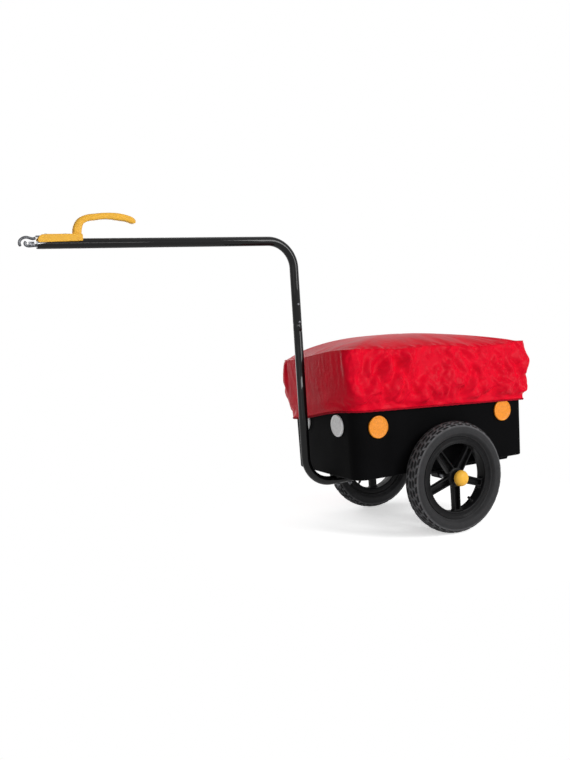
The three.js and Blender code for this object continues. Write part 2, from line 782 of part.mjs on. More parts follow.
function spacerGeometry() {
  const start = railHalfSpacing + bracketWidth / 2 + seatGap;
  const end = wheelPlane - hubFace - seatGap;
  return turned(closedLoop([
    [axleBore, start], [spacerRadius, start], [spacerRadius, end], [axleBore, end],
  ]), shaftSides);
}

function axleBracketGeometry() {
  const top = railUnderside - seatGap;
  const shape = new THREE.Shape();
  shape.moveTo(-bracketFlangeHalfLength, top);
  shape.lineTo(-bracketFlangeHalfLength, top - bracketFlange);
  shape.lineTo(-bracketNeckHalfWidth, top - bracketFlange);
  shape.lineTo(-bracketEyeRadius, axleHeight);
  shape.absarc(0, axleHeight, bracketEyeRadius, Math.PI, 2 * Math.PI, false);
  shape.lineTo(bracketNeckHalfWidth, top - bracketFlange);
  shape.lineTo(bracketFlangeHalfLength, top - bracketFlange);
  shape.lineTo(bracketFlangeHalfLength, top);
  const block = sideSlab(shape, bracketWidth / 2);
  const bore = disc(axleBore, bracketWidth + 2 * cutOverrun, shaftSides).translate(0, 0, axleHeight);
  const boltHoles = [-1, 1].map((end) => rodBetween(
    new THREE.Vector3((end * bracketBoltSpacing) / 2, 0, top + cutOverrun),
    new THREE.Vector3((end * bracketBoltSpacing) / 2, 0, axleHeight),
    boltRadius + seatGap, rodSides,
  ));
  return cut(block, [bore, ...boltHoles]);
}

// A hex-headed bolt that stands on its head.
function bracketBoltGeometry() {
  const head = along(upward, disc(boltHeadCorner, boltHeadHeight, hexSides)).translate(0, 0, -boltHeadHeight / 2);
  const shank = along(upward, disc(boltRadius, bracketBoltLength + boltHeadHeight, rodSides))
    .translate(0, 0, (bracketBoltLength - boltHeadHeight) / 2);
  return join([head, shank]);
}

function axleSet() {
  const group = new THREE.Group();
  group.add(piece('axle', axleGeometry().translate(0, 0, axleHeight), 'steel'));
  for (const [side, direction] of [['left', 1], ['right', -1]]) {
    const nut = piece(`axle_nut_${side}`, axleNutGeometry(), 'steel');
    nut.position.set(0, direction * (wheelPlane + hubFace + seatGap), axleHeight);
    nut.rotation.z = direction > 0 ? 0 : Math.PI;
    const spacer = piece(`axle_spacer_${side}`, spacerGeometry(), 'steel');
    spacer.position.z = axleHeight;
    spacer.rotation.z = direction > 0 ? 0 : Math.PI;
    const bracket = piece(`axle_bracket_${side}`, axleBracketGeometry(), 'blackPlastic');
    bracket.position.y = direction * railHalfSpacing;
    group.add(nut, spacer, bracket);
    for (const [place, end] of [['front', 1], ['rear', -1]]) {
      const bolt = piece(`bracket_bolt_${side}_${place}`, bracketBoltGeometry(), 'steel');
      const underFlange = railUnderside - seatGap - bracketFlange - seatGap;
      bolt.position.set((end * bracketBoltSpacing) / 2, direction * railHalfSpacing, underFlange);
      group.add(bolt);
    }
  }
  return group;
}

// Tub

function tightened(corners, inset) {
  return { front: corners.front - inset, rear: corners.rear - inset };
}

function tubRing(inset, height) {
  const out = (tubDraft * (height - tubUnderside)) / tubHeight - inset;
  const outline = roundedRectangle(
    -tubRear - out, tubFront + out, tubBottomHalfWidth + out, tightened(tubCorners, inset), tubSteps,
  );
  return outline.map(({ point }) => new THREE.Vector3(point.x, point.y, height));
}

function tubShell() {
  const round = tubBottomRound;
  const shoulder = tubRoundShare * round;
  const lipUnder = tubRim - rimLipHeight;
  return skinRings([
    tubRing(round, tubUnderside),
    tubRing(shoulder, tubUnderside + shoulder),
    tubRing(0, tubUnderside + round),
    tubRing(0, lipUnder - rimLipOut),
    tubRing(-rimLipOut, lipUnder),
    tubRing(-rimLipOut, tubRim - rimLipOut / 2),
    tubRing(-rimLipOut / 2, tubRim),
    tubRing(tubWall, tubRim),
    tubRing(tubWall, tubFloor + round),
    tubRing(tubWall + shoulder, tubFloor + shoulder),
    tubRing(tubWall + round, tubFloor),
  ]);
}

function railGeometry(direction) {
  const top = tubUnderside + tubWall / 2;
  const shape = shapeOf([
    [-railRear, top], [-railRear + railEndSlope, railUnderside],
    [railFront - railEndSlope, railUnderside], [railFront, top],
  ]);
  return sideSlab(shape, railWidth / 2).translate(0, direction * railHalfSpacing, 0);
}

function tubGeometry() {
  const seat = boxBetween(
    [seatRear, -seatHalfWidth, tubUnderside - seatDepth],
    [seatFront, seatHalfWidth, tubUnderside + tubWall / 2],
  );
  const seatPocket = boxBetween(
    [seatRear + tubWall, -seatHalfWidth + tubWall, tubFloor - seatDepth],
    [seatFront - tubWall, seatHalfWidth - tubWall, tubFloor + cutOverrun],
  );
  const boltTop = tubFloor - boltRoof;
  const railHoles = [-1, 1].flatMap((direction) => [-1, 1].map((end) => rodBetween(
    new THREE.Vector3((end * bracketBoltSpacing) / 2, direction * railHalfSpacing, railUnderside - cutOverrun),
    new THREE.Vector3((end * bracketBoltSpacing) / 2, direction * railHalfSpacing, boltTop),
    boltRadius + seatGap, rodSides,
  )));
  const seatHoles = Object.values(saddleBolts).map((x) => rodBetween(
    new THREE.Vector3(x, 0, tubUnderside - seatDepth - cutOverrun),
    new THREE.Vector3(x, 0, tubFloor),
    boltRadius + seatGap, rodSides,
  ));
  const whole = join([tubShell(), seat, railGeometry(1), railGeometry(-1)]);
  return cut(whole, [seatPocket, ...railHoles, ...seatHoles]);
}

// Drawbar

function pipe(outerPlaces, innerPlaces) {
  const ringsOf = (places) => places.map(({ at, radius }) => barRing(at, radius, tubeSides));
  return skinRings([...ringsOf(outerPlaces), ...ringsOf(innerPlaces).reverse()], true);
}

function lowerDrawbarGeometry() {
  const bend = bendPlaces(drawbarUpright - drawbarBend, axleHeight + drawbarBend, -Math.PI / 2, 0, 1);
  const rear = straightPlace(-drawbarRearEnd, axleHeight, forward);
  const seam = straightPlace(drawbarUpright, drawbarSeam, upward);
  const taper = straightPlace(drawbarUpright, drawbarSeam - neckTaper, upward);
  const top = straightPlace(drawbarUpright, drawbarSeam + neckLength, upward);
  const outer = [rear, ...bend, seam].map((at) => ({ at, radius: drawbarRadius }));
  const inner = [rear, ...bend, taper].map((at) => ({ at, radius: drawbarBore }));
  const tube = pipe(
    [...outer, { at: seam, radius: neckRadius }, { at: top, radius: neckRadius }],
    [...inner, { at: seam, radius: neckBore }, { at: top, radius: neckBore }],
  );
  const axleHole = disc(axleBore, 2 * (drawbarRadius + cutOverrun), shaftSides).translate(0, 0, axleHeight);
  const boltHoles = Object.values(saddleBolts).map((x) => rodBetween(
    new THREE.Vector3(x, 0, axleHeight - drawbarRadius - cutOverrun),
    new THREE.Vector3(x, 0, axleHeight + drawbarRadius + cutOverrun),
    boltRadius + seatGap, rodSides,
  ));
  return cut(tube, [axleHole, ...boltHoles, ...buttonHoles()]);
}

function buttonHoles() {
  return buttonRises.map((rise) => rodBetween(
    new THREE.Vector3(drawbarUpright, 0, drawbarSeam + rise),
    new THREE.Vector3(drawbarUpright, drawbarRadius + cutOverrun, drawbarSeam + rise),
    buttonRadius + seatGap, shaftSides,
  ));
}

function upperDrawbarGeometry() {
  const bend = bendPlaces(drawbarUpright + drawbarBend, drawbarTop - drawbarBend, Math.PI, Math.PI / 2, -1);
  const places = [
    straightPlace(drawbarUpright, drawbarSeam + seatGap, upward), ...bend,
    straightPlace(drawbarFrontEnd, drawbarTop, forward),
  ];
  const tube = pipe(
    places.map((at) => ({ at, radius: drawbarRadius })),
    places.map((at) => ({ at, radius: drawbarBore })),
  );
  const overTube = drawbarTop + drawbarRadius + cutOverrun;
  const rearEdge = drawbarFrontEnd - noseCutLength;
  const slope = (noseCutRearHeight - noseCutFrontHeight) / noseCutLength;
  const frontEdge = noseCutFrontHeight - slope * cutOverrun;
  const nose = sideSlab(shapeOf([
    [rearEdge, drawbarTop + noseCutRearHeight], [drawbarFrontEnd + cutOverrun, drawbarTop + frontEdge],
    [drawbarFrontEnd + cutOverrun, overTube], [rearEdge, overTube],
  ]), drawbarRadius + cutOverrun);
  const pinHole = disc(pivotRadius + seatGap, 2 * (drawbarRadius + cutOverrun), rodSides)
    .translate(pivotX, 0, drawbarTop + pivotHeight);
  return cut(tube, [nose, pinHole, ...buttonHoles()]);
}

// The plug is turned about Y with its head at zero, then laid along X with its stem forward.
function plugGeometry() {
  const stemRadius = drawbarBore - seatGap;
  const plug = turned([
    [0, -plugFlange], [drawbarRadius - plugRound, -plugFlange], [drawbarRadius, -plugFlange + plugRound],
    [drawbarRadius, 0], [stemRadius, 0], [stemRadius, plugStem - plugRound],
    [stemRadius - plugRound, plugStem], [0, plugStem],
  ], tubeSides);
  return along(forward, plug);
}

function saddleGeometry() {
  const top = tubUnderside - seatDepth - seatGap;
  const tubeTop = axleHeight + drawbarRadius;
  const block = boxBetween([saddleRear, -saddleHalfWidth, tubeTop - saddleWrap], [saddleFront, saddleHalfWidth, top]);
  const channel = along(forward, disc(drawbarRadius + seatGap, saddleFront - saddleRear + 2 * cutOverrun, tubeSides))
    .translate((saddleFront + saddleRear) / 2, 0, axleHeight);
  const holes = Object.values(saddleBolts).map((x) => rodBetween(
    new THREE.Vector3(x, 0, axleHeight), new THREE.Vector3(x, 0, top + cutOverrun), boltRadius + seatGap, rodSides,
  ));
  return cut(block, [channel, ...holes]);
}

// A dome-headed bolt, hanging from its head at zero.
function saddleBoltGeometry() {
  const headFace = tubFloor - seatDepth + seatGap;
  const end = axleHeight - drawbarRadius - seatGap - saddleNutHeight - saddleBoltEnd;
  const head = turned(
    domeHeadShares.map(([out, rise]) => [out * domeHeadRadius, rise * domeHeadHeight]), shaftSides,
  );
  const shank = disc(boltRadius, headFace - end + seatGap, rodSides).translate(0, (end - headFace + seatGap) / 2, 0);
  return along(upward, join([head, shank]));
}

function saddleNutGeometry() {
  const nut = disc(saddleNutCorner, saddleNutHeight, hexSides);
  const bore = disc(boltRadius + seatGap, saddleNutHeight + 2 * cutOverrun, rodSides);
  return along(upward, cut(nut, [bore]));
}

function drawbarSet() {
  const group = new THREE.Group();
  const plug = piece('drawbar_rear_plug', plugGeometry(), 'blackPlastic');
  plug.position.set(-drawbarRearEnd - seatGap, 0, axleHeight);
  group.add(
    piece('lower_drawbar', lowerDrawbarGeometry(), 'drawbar'),
    piece('upper_drawbar', upperDrawbarGeometry(), 'drawbar'),
    plug,
    piece('drawbar_saddle', saddleGeometry(), 'blackPlastic'),
  );
  for (const [place, x] of Object.entries(saddleBolts)) {
    const bolt = piece(`saddle_bolt_${place}`, saddleBoltGeometry(), 'steel');
    bolt.position.set(x, 0, tubFloor - seatDepth + seatGap);
    const nut = piece(`saddle_nut_${place}`, saddleNutGeometry(), 'steel');
    nut.position.set(x, 0, axleHeight - drawbarRadius - seatGap - saddleNutHeight / 2);
    group.add(bolt, nut);
  }
  return group;
}

// Snap buttons, turned about Y, with their domes to the left

function buttonGeometry() {
  const flangeFront = buttonFlangeBack + buttonFlange;
  const domeFoot = drawbarRadius + buttonProud / 2;
  const dome = buttonDomeShares.map(([out, rise]) => [out * buttonRadius, domeFoot + (rise * buttonProud) / 2]);
  return turned([
    [0, buttonFlangeBack], [buttonFlangeRadius, buttonFlangeBack], [buttonFlangeRadius, flangeFront],
    [buttonRadius, flangeFront], ...dome,
  ], shaftSides);
}

// A leaf bent to a V: one leg behind the button, the other on the far side of the bore.
function leafSpringGeometry() {
  const near = buttonFlangeBack - seatGap;
  const strip = [
    [near, leafRise], [near, -leafRise], [-leafThickness, -leafDrop], [-2 * leafThickness, -leafDrop],
    [-leafFarSide, leafRise], [-leafFarSide + leafThickness, leafRise],
    [-1.5 * leafThickness, leafThickness - leafDrop], [near - leafThickness, -leafRise],
    [near - leafThickness, leafRise],
  ];
  const leaf = sideSlab(shapeOf(strip), leafWidth / 2);
  return leaf.rotateZ(Math.PI / 2);
}

function snapButtons() {
  const group = new THREE.Group();
  buttonRises.forEach((rise, i) => {
    const height = drawbarSeam + rise;
    const place = ['upper', 'lower'][i];
    const button = piece(`snap_button_${place}`, buttonGeometry(), 'steel');
    const leaf = piece(`button_spring_${place}`, leafSpringGeometry(), 'steel');
    button.position.set(drawbarUpright, 0, height);
    leaf.position.set(drawbarUpright, 0, height);
    group.add(button, leaf);
  });
  return group;
}

// Coupling

function leverBase() {
  const shape = new THREE.Shape();
  shape.moveTo(leverRear, drawbarTop + leverBottomRear);
  shape.lineTo(leverFront, drawbarTop + leverBottomFront);
  shape.lineTo(leverFront, drawbarTop + leverTop - leverFrontRound);
  shape.quadraticCurveTo(
    leverFront, drawbarTop + leverTop, leverFront - leverFrontRound, drawbarTop + leverTop,
  );
  shape.lineTo(leverRear, drawbarTop + leverTop);
  const block = sideSlab(shape, leverHalfWidth, leverEdgeRound);
  const channel = sideSlab(shapeOf([
    [leverRear - cutOverrun, drawbarTop - cutOverrun], [leverFront + cutOverrun, drawbarTop - cutOverrun],
    [leverFront + cutOverrun, drawbarTop + leverRoof], [pivotX, drawbarTop + leverRoof],
    [leverRear - cutOverrun, drawbarTop + leverRelief],
  ]), leverHalfWidth - leverSide);
  return cut(block, [channel]);
}

// The handle: rounded sections along its middle line, thick in the XZ plane and as wide in Y.
function handleGeometry() {
  const curve = new THREE.CatmullRomCurve3(handleShares.map(([behind, over]) => new THREE.Vector3(
    leverRear - behind * handleLength, 0, drawbarTop + over * handleHeight,
  )));
  const halfThickness = (share) => {
    const spot = share * (handleShares.length - 1);
    const index = Math.min(Math.floor(spot), handleShares.length - 2);
    const [from, to] = [handleShares[index][2], handleShares[index + 1][2]];
    return handleHalfThickness * THREE.MathUtils.lerp(from, to, spot - index);
  };
  const rings = Array.from({ length: handleSteps + 1 }, (_, i) => {
    const share = i / handleSteps;
    const place = curve.getPoint(share);
    const across = new THREE.Vector3().crossVectors(leftward, curve.getTangent(share));
    return Array.from({ length: handleSides }, (__, j) => {
      const angle = (2 * Math.PI * j) / handleSides;
      const squareness = 1 / Math.max(Math.abs(Math.cos(angle)), Math.abs(Math.sin(angle)));
      const reach = Math.sqrt(squareness);
      return place.clone()
        .addScaledVector(across, halfThickness(share) * reach * Math.cos(angle))
        .addScaledVector(leftward, (handleWidth / 2) * reach * Math.sin(angle));
    });
  });
  return skinRings(rings);
}

function leverGeometry() {
  const pinBore = disc(pivotRadius + runningGap, 2 * (leverHalfWidth + cutOverrun), shaftSides)
    .translate(pivotX, 0, drawbarTop + pivotHeight);
  const tangSlot = boxBetween(
    [tangRear - seatGap, -tangHalfWidth - seatGap, drawbarTop + tangHeight - seatGap],
    [leverFront + cutOverrun, tangHalfWidth + seatGap, drawbarTop + tangHeight + tangThickness + seatGap],
  );
  const boltHoles = leverBolts().map((x) => rodBetween(
    new THREE.Vector3(x, 0, drawbarTop + leverTop - leverBoltDepth - seatGap),
    new THREE.Vector3(x, 0, drawbarTop + leverTop + cutOverrun),
    leverBoltRadius + seatGap, rodSides,
  ));
  const reliefUnderStalk = sideSlab(shapeOf([
    [leverRear - 2 * cutOverrun, drawbarTop - cutOverrun], [pivotX, drawbarTop - cutOverrun],
    [pivotX, drawbarTop + leverRoof], [leverRear - 2 * cutOverrun, drawbarTop + leverRelief],
  ]), leverHalfWidth - leverSide);
  return cut(join([leverBase(), handleGeometry()]), [reliefUnderStalk, pinBore, tangSlot, ...boltHoles]);
}

function leverBolts() {
  return leverBoltInsets.map((inset) => leverFront - inset);
}

// The middle line of a jaw, ahead of the tube's front end.
function jawLine(shares) {
  return shares.map(([reach, height]) => [drawbarFrontEnd + reach * jawReach, drawbarTop + height * jawHeight]);
}

function upperJawGeometry() {
  const tang = boxBetween(
    [tangRear, -tangHalfWidth, drawbarTop + tangHeight],
    [tangFront, tangHalfWidth, drawbarTop + tangHeight + tangThickness],
  );
  const boltHoles = leverBolts().map((x) => rodBetween(
    new THREE.Vector3(x, 0, drawbarTop + tangHeight - cutOverrun),
    new THREE.Vector3(x, 0, drawbarTop + leverTop),
    leverBoltRadius + seatGap, rodSides,
  ));
  const bar = cut(bentBar(jawLine(upperJawShares), jawRadius), [boxBetween(
    [tangRear, -leverHalfWidth, drawbarTop + tangHeight - 2 * cutOverrun],
    [leverFront + seatGap, leverHalfWidth, drawbarTop + leverTop],
  )]);
  return cut(join([tang, bar]), boltHoles);
}

function lowerJawGeometry() {
  const anvilRear = drawbarFrontEnd + anvilSetback;
  const anvil = boxBetween(
    [anvilRear, -anvilHalfWidth, drawbarTop - jawRadius],
    [anvilRear + anvilLength, anvilHalfWidth, drawbarTop + anvilTop],
  );
  return join([bentBar(jawLine(lowerJawShares), jawRadius), anvil]);
}

function couplingBlockGeometry() {
  const core = along(forward, disc(drawbarBore - seatGap, blockLength, tubeSides))
    .translate(drawbarFrontEnd - blockLength / 2, 0, drawbarTop);
  const overBlock = boxBetween(
    [drawbarFrontEnd - blockLength - cutOverrun, -drawbarRadius, drawbarTop + blockTop],
    [drawbarFrontEnd + cutOverrun, drawbarRadius, drawbarTop + 2 * drawbarRadius],
  );
  const [[, jawStart]] = jawLine(lowerJawShares);
  const jawBore = rodBetween(
    new THREE.Vector3(drawbarFrontEnd - blockBoreDepth, 0, jawStart),
    new THREE.Vector3(drawbarFrontEnd + cutOverrun, 0, jawStart),
    jawRadius + 2 * seatGap, shaftSides,
  );
  return cut(core, [overBlock, jawBore]);
}

function leverBoltGeometry() {
  const dome = turned([
    [0, seatGap], ...leverBoltShares.map(([out, rise]) => [out * leverBoltHead, rise * leverBoltDome]),
  ], shaftSides);
  const shank = disc(leverBoltRadius, leverBoltDepth + 2 * seatGap, rodSides)
    .translate(0, seatGap - leverBoltDepth / 2, 0);
  return along(upward, join([dome, shank]));
}

function pivotPinGeometry() {
  const reach = leverHalfWidth + seatGap;
  const shank = disc(pivotRadius, 2 * reach, rodSides);
  const heads = [-1, 1].map((side) => disc(pinHeadRadius, pinHead, rodSides)
    .translate(0, side * (reach + pinHead / 2), 0));
  return join([shank, ...heads]);
}

// A spring wound upwards about Z. Prints the least gap between its turns.
function springGeometry() {
  const springX = drawbarFrontEnd - springInset;
  const low = drawbarTop + blockTop + seatGap + springWire;
  const high = drawbarTop + leverRoof - seatGap - springWire;
  const steps = springTurns * springStepsPerTurn;
  const wound = (share) => {
    const angle = 2 * Math.PI * springTurns * share;
    return new THREE.Vector3(
      springX + springRadius * Math.cos(angle), springRadius * Math.sin(angle), THREE.MathUtils.lerp(low, high, share),
    );
  };
  const places = Array.from({ length: steps + 1 }, (_, i) => wound(i / steps));
  const rings = places.map((place, i) => {
    const outward = new THREE.Vector3(place.x - springX, place.y, 0).normalize();
    return Array.from({ length: springWireSides }, (_, j) => {
      const angle = (2 * Math.PI * j) / springWireSides;
      return place.clone()
        .addScaledVector(outward, springWire * Math.cos(angle))
        .addScaledVector(upward, springWire * Math.sin(angle));
    });
  });
  const turnApart = places.slice(springStepsPerTurn).map((place, i) => place.distanceTo(places[i]));
  console.log(`return spring: least gap between turns ${(Math.min(...turnApart) - 2 * springWire).toFixed(2)} mm`);
  return skinRings(rings);
}

function coupling() {
  const group = new THREE.Group();
  const pin = piece('pivot_pin', pivotPinGeometry(), 'steel');
  pin.position.set(pivotX, 0, drawbarTop + pivotHeight);
  group.add(
    piece('coupling_lever', leverGeometry(), 'yellow'),
    piece('upper_jaw', upperJawGeometry(), 'steel'),
    piece('lower_jaw', lowerJawGeometry(), 'steel'),
    piece('coupling_block', couplingBlockGeometry(), 'steel'),
    piece('return_spring', springGeometry(), 'steel'),
    pin,
  );
  leverBolts().forEach((x, i) => {
    const bolt = piece(`lever_bolt_${['front', 'rear'][i]}`, leverBoltGeometry(), 'steel');
    bolt.position.set(x, 0, drawbarTop + leverTop);
    group.add(bolt);
  });
  return group;
}

// Reflectors, turned about Y with the lens to +Y

function reflectorGeometry() {
  return turned([
    [0, 0], [reflectorRadius, 0], [reflectorRadius, reflectorThickness - reflectorBevel],
    [reflectorRadius - reflectorBevel, reflectorThickness], [0, reflectorThickness],
  ], reflectorSteps);
}

// Stands a reflector on a wall that leans out with the tub's draft.
function reflector(name, finish, facing, alongWall, height) {
  const lean = Math.atan(tubDraft / tubHeight);
  const out = (tubDraft * (height - tubUnderside)) / tubHeight + seatGap;
  const disk = piece(name, reflectorGeometry(), finish);
  disk.rotation.x = -lean;
  disk.position.y = out;
  disk.position.z = height;
  const wall = new THREE.Group();
  wall.add(disk);
  wall.rotation.z = facing;
  wall.position.set(...alongWall, 0);
  return wall;
}

function reflectors() {
  const group = new THREE.Group();
  const places = { front: tubFront - sideReflectorFrontInset, rear: sideReflectorRearInset - tubRear };
  const endHeight = tubRim - endReflectorDrop;
  for (const [side, direction] of [['left', 1], ['right', -1]]) {
    const facing = direction > 0 ? 0 : Math.PI;
    for (const [place, x] of Object.entries(places)) {
      const foot = [x, direction * tubBottomHalfWidth];
      group.add(reflector(`side_reflector_${side}_${place}`, 'amber', facing, foot, tubRim - sideReflectorDrop));
    }
    const across = direction * (tubBottomHalfWidth - endReflectorInset);
    group.add(
      reflector(`front_reflector_${side}`, 'white', -Math.PI / 2, [tubFront, across], endHeight),
      reflector(`rear_reflector_${side}`, 'red', Math.PI / 2, [-tubRear, across], endHeight),
    );
  }
  return group;
}

// Cover: a cloth shell over the tub, with folds down its skirt and a crowned top

function hemHeight(x) {
  const share = (x + tubRear) / (tubFront + tubRear);
  return tubRim - THREE.MathUtils.lerp(hemRearDrop, hemFrontDrop, share);
}

// Out by 1 at a sewn corner, 0 along the sides.
function cornerShare(out) {
  return Math.max(0, 2 * Math.abs(out.x * out.y));
}

function foldAt(around, share) {
  const rise = Math.sin(Math.PI * Math.min(1, foldHemShare + share));
  const swell = Math.cos(foldSwells * around + share);
  return foldDepth * rise * swell * Math.sin(foldCount * around + foldBeat * share);
}

// The plan of the skirt at one level: inset is zero outside and the cloth's thickness inside.
function skirtPlan([, sideShare, frontShare, rearShare], inset, steps) {
  const overLip = tubDraft + rimLipOut + coverHemClearance + coverThickness - inset;
  return roundedRectangle(
    -tubRear - overLip - rearShare * bulgeRear, tubFront + overLip + frontShare * bulgeFront,
    tubBottomHalfWidth + overLip + sideShare * bulgeSide, tightened(coverCorners, inset), steps,
  );
}

function skirtRing(level, inset) {
  const [share, sideShare] = level;
  const plan = skirtPlan(level, inset, coverSteps);
  return plan.map(({ point, out }, i) => {
    const fold = Math.max(foldAt((2 * Math.PI * i) / plan.length, share), -sideShare * bulgeSide);
    const ear = point.x > 0 ? coverEars.front : coverEars.rear;
    const edge = coverEdge + ear * cornerShare(out) ** 2 - inset;
    return new THREE.Vector3(
      point.x + fold * out.x, point.y + fold * out.y, THREE.MathUtils.lerp(hemHeight(point.x), edge, share),
    );
  });
}

// One level of the top, drawn in towards the middle of the plan.
function domeRing(planShare, inset) {
  const edge = skirtRing(skirtShares.at(-1), inset);
  const middle = (tubFront - tubRear) / 2;
  return edge.map((point) => {
    const lift = coverCrown * (1 - planShare ** domePower);
    const flat = THREE.MathUtils.lerp(coverEdge - inset, point.z, planShare ** domePower);
    return new THREE.Vector3(middle + planShare * (point.x - middle), planShare * point.y, flat + lift);
  });
}

function coverGeometry() {
  const outer = [
    ...skirtShares.map((level) => skirtRing(level, 0)),
    ...domeShares.map((share) => domeRing(share, 0)),
  ];
  const inner = [
    ...skirtShares.map((level) => skirtRing(level, coverThickness)),
    ...domeShares.map((share) => domeRing(share, coverThickness)),
  ];
  return skinRings([...inner.reverse(), ...outer]);
}

// A round elastic just under the hem, below the middle of the cloth.
function elasticGeometry() {
  const plan = skirtPlan(skirtShares[0], coverThickness / 2, elasticSteps);
  const rings = plan.map(({ point, out }) => {
    const centre = new THREE.Vector3(point.x, point.y, hemHeight(point.x) - seatGap - elasticRadius);
    const across = new THREE.Vector3(out.x, out.y, 0);
    return Array.from({ length: elasticSides }, (_, j) => {
      const angle = (2 * Math.PI * j) / elasticSides;
      return centre.clone()
        .addScaledVector(across, elasticRadius * Math.cos(angle))
        .addScaledVector(upward, elasticRadius * Math.sin(angle));
    });
  });
  return skinRings(rings, true);
}

function cover() {
  const group = new THREE.Group();
  group.add(piece('cover', coverGeometry(), 'cloth'), piece('hem_elastic', elasticGeometry(), 'elastic'));
  return group;
}

// The whole trailer

const trailer = new THREE.Group();
trailer.add(
  piece('tub', tubGeometry(), 'tub'),
  axleSet(),
  wheel('left', 1),
  wheel('right', -1),
  drawbarSet(),
  snapButtons(),
  coupling(),
  reflectors(),
  cover(),
);
trailer.updateMatrixWorld(true);
const wholeBox = new THREE.Box3().setFromObject(trailer, true);
trailer.position.x = -(wholeBox.min.x + wholeBox.max.x) / 2;

export default trailer;
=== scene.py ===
"""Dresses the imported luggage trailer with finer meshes, finishes, a camera and a stage.

Places in the tables and forms are millimetres from the point of the floor under the axle:
X forward to the bicycle, Y left, Z up. Everything else is in metres.
"""

import math

import bmesh
import bpy
import numpy as np
from bpy.props import FloatProperty, FloatVectorProperty, IntProperty, PointerProperty
from mathutils import Matrix, Vector, noise


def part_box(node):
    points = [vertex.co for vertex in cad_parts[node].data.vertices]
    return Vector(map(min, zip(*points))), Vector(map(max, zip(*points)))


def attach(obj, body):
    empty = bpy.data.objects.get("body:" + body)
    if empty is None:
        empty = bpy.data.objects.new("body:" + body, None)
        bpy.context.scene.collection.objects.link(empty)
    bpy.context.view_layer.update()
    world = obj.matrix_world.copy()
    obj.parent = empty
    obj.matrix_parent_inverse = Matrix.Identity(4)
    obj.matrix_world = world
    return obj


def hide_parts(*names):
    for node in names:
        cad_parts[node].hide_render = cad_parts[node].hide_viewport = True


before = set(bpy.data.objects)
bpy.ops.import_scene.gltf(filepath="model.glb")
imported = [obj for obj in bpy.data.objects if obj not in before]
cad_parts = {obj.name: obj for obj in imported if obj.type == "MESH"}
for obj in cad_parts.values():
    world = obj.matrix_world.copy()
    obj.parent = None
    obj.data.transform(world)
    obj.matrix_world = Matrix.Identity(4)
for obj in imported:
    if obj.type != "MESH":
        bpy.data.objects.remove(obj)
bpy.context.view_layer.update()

bl_info = {
    "name": "Bike trailer",
    "version": (1, 0, 0),
    "blender": (4, 5, 0),
    "location": "3D View > Sidebar > Trailer",
    "description": "Builds the looks of a moulded luggage trailer round its packed frame",
    "category": "Object",
}

MM = 0.001
SIDES = {"left": 1, "right": -1}


def middle_of(node):
    """The middle of a CAD node's box, in millimetres."""
    low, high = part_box(node)
    return (low + high) / (2 * MM)


def reach_of(node):
    """Half the size of a CAD node's box along each axis, in millimetres."""
    low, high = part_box(node)
    return (high - low) / (2 * MM)


def highest(node):
    """The highest corner of a CAD node's box, in millimetres, with X from the axle."""
    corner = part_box(node)[1] / MM
    return corner - Vector((AXLE_X, 0, 0))


def lowest(node):
    """The lowest corner of a CAD node's box, in millimetres, with X from the axle."""
    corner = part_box(node)[0] / MM
    return corner - Vector((AXLE_X, 0, 0))


AXLE_X = middle_of("axle").x
AXLE_HEIGHT = middle_of("axle").z
WHEEL_PLANE = middle_of("left_rim").y


# Sizes of the moulded tub
TUB_DRAFT = 4
TUB_WALL = 3.5
TUB_CORNERS = (12, 40)  # at the rear and in front
TUB_BOTTOM_ROUND = 5
TUB_LIP_OUT = 4
TUB_LIP_HEIGHT = 10
TUB_UNDERSIDE = 181
TUB_RIM = highest("tub").z
TUB_FRONT = highest("tub").x - TUB_DRAFT - TUB_LIP_OUT
TUB_REAR = -lowest("tub").x - TUB_DRAFT - TUB_LIP_OUT
TUB_HALF_WIDTH = reach_of("tub").y - TUB_DRAFT - TUB_LIP_OUT
TUB_FLOOR = TUB_UNDERSIDE + TUB_WALL
TUB_STEPS = (14, 2, 2)  # round a corner, along a side, across an end
TUB_ROUND_STEPS = 6
LIP_FOOT = TUB_RIM - TUB_LIP_HEIGHT
# [inset, height] of the rolled lip, from the wall under it over its crest to the inside
LIP_SECTION = (
    (0, LIP_FOOT - TUB_LIP_OUT - 2), (-0.4, LIP_FOOT - TUB_LIP_OUT), (-2.2, LIP_FOOT - 2.2),
    (-3.6, LIP_FOOT - 0.5), (-4, LIP_FOOT + 1), (-4, TUB_RIM - 3), (-3.4, TUB_RIM - 1),
    (-2, TUB_RIM), (TUB_WALL - 1, TUB_RIM), (TUB_WALL, TUB_RIM - 1.2),
)
RAIL_INSET = 39
RAIL_WIDTH = 42
RAIL_DEPTH = 10
RAIL_FRONT = TUB_FRONT - 178
RAIL_REAR = -TUB_REAR + 35
RAIL_SLOPE = 8
RAIL_BEVEL = 1.5
SEAT_FRONT = TUB_FRONT - 18
SEAT_LENGTH = 90
SEAT_HALF_WIDTH = 32
SEAT_DEPTH = 5
SEAT_ROUND = 4
SEAT_BEVEL = 0.8
FLOOR_RIB_HALF_WIDTH = 4
FLOOR_RIB_HEIGHT = 2.5
FLOOR_RIB_SINK = 1
FLOOR_RIB_ROUND = 3.5
FLOOR_RIB_BEVEL = 1
FLOOR_RIB_PLACES = (-90, -45, 0, 45, 90)

# Sizes of the wheels, about the middle of each with its outer side at +Y
TYRE_RADIUS = reach_of("left_tyre").z
TYRE_HALF_WIDTH = reach_of("left_tyre").y
TYRE_WIDEST = 134.9
TYRE_SQUARENESS = 0.86
TREAD_DEPTH = 2.3
TREAD_EDGE = 60  # degrees from the crown
TREAD_CREASE = 60
TREAD_STEPS = 44
PITCH_STEPS = 14
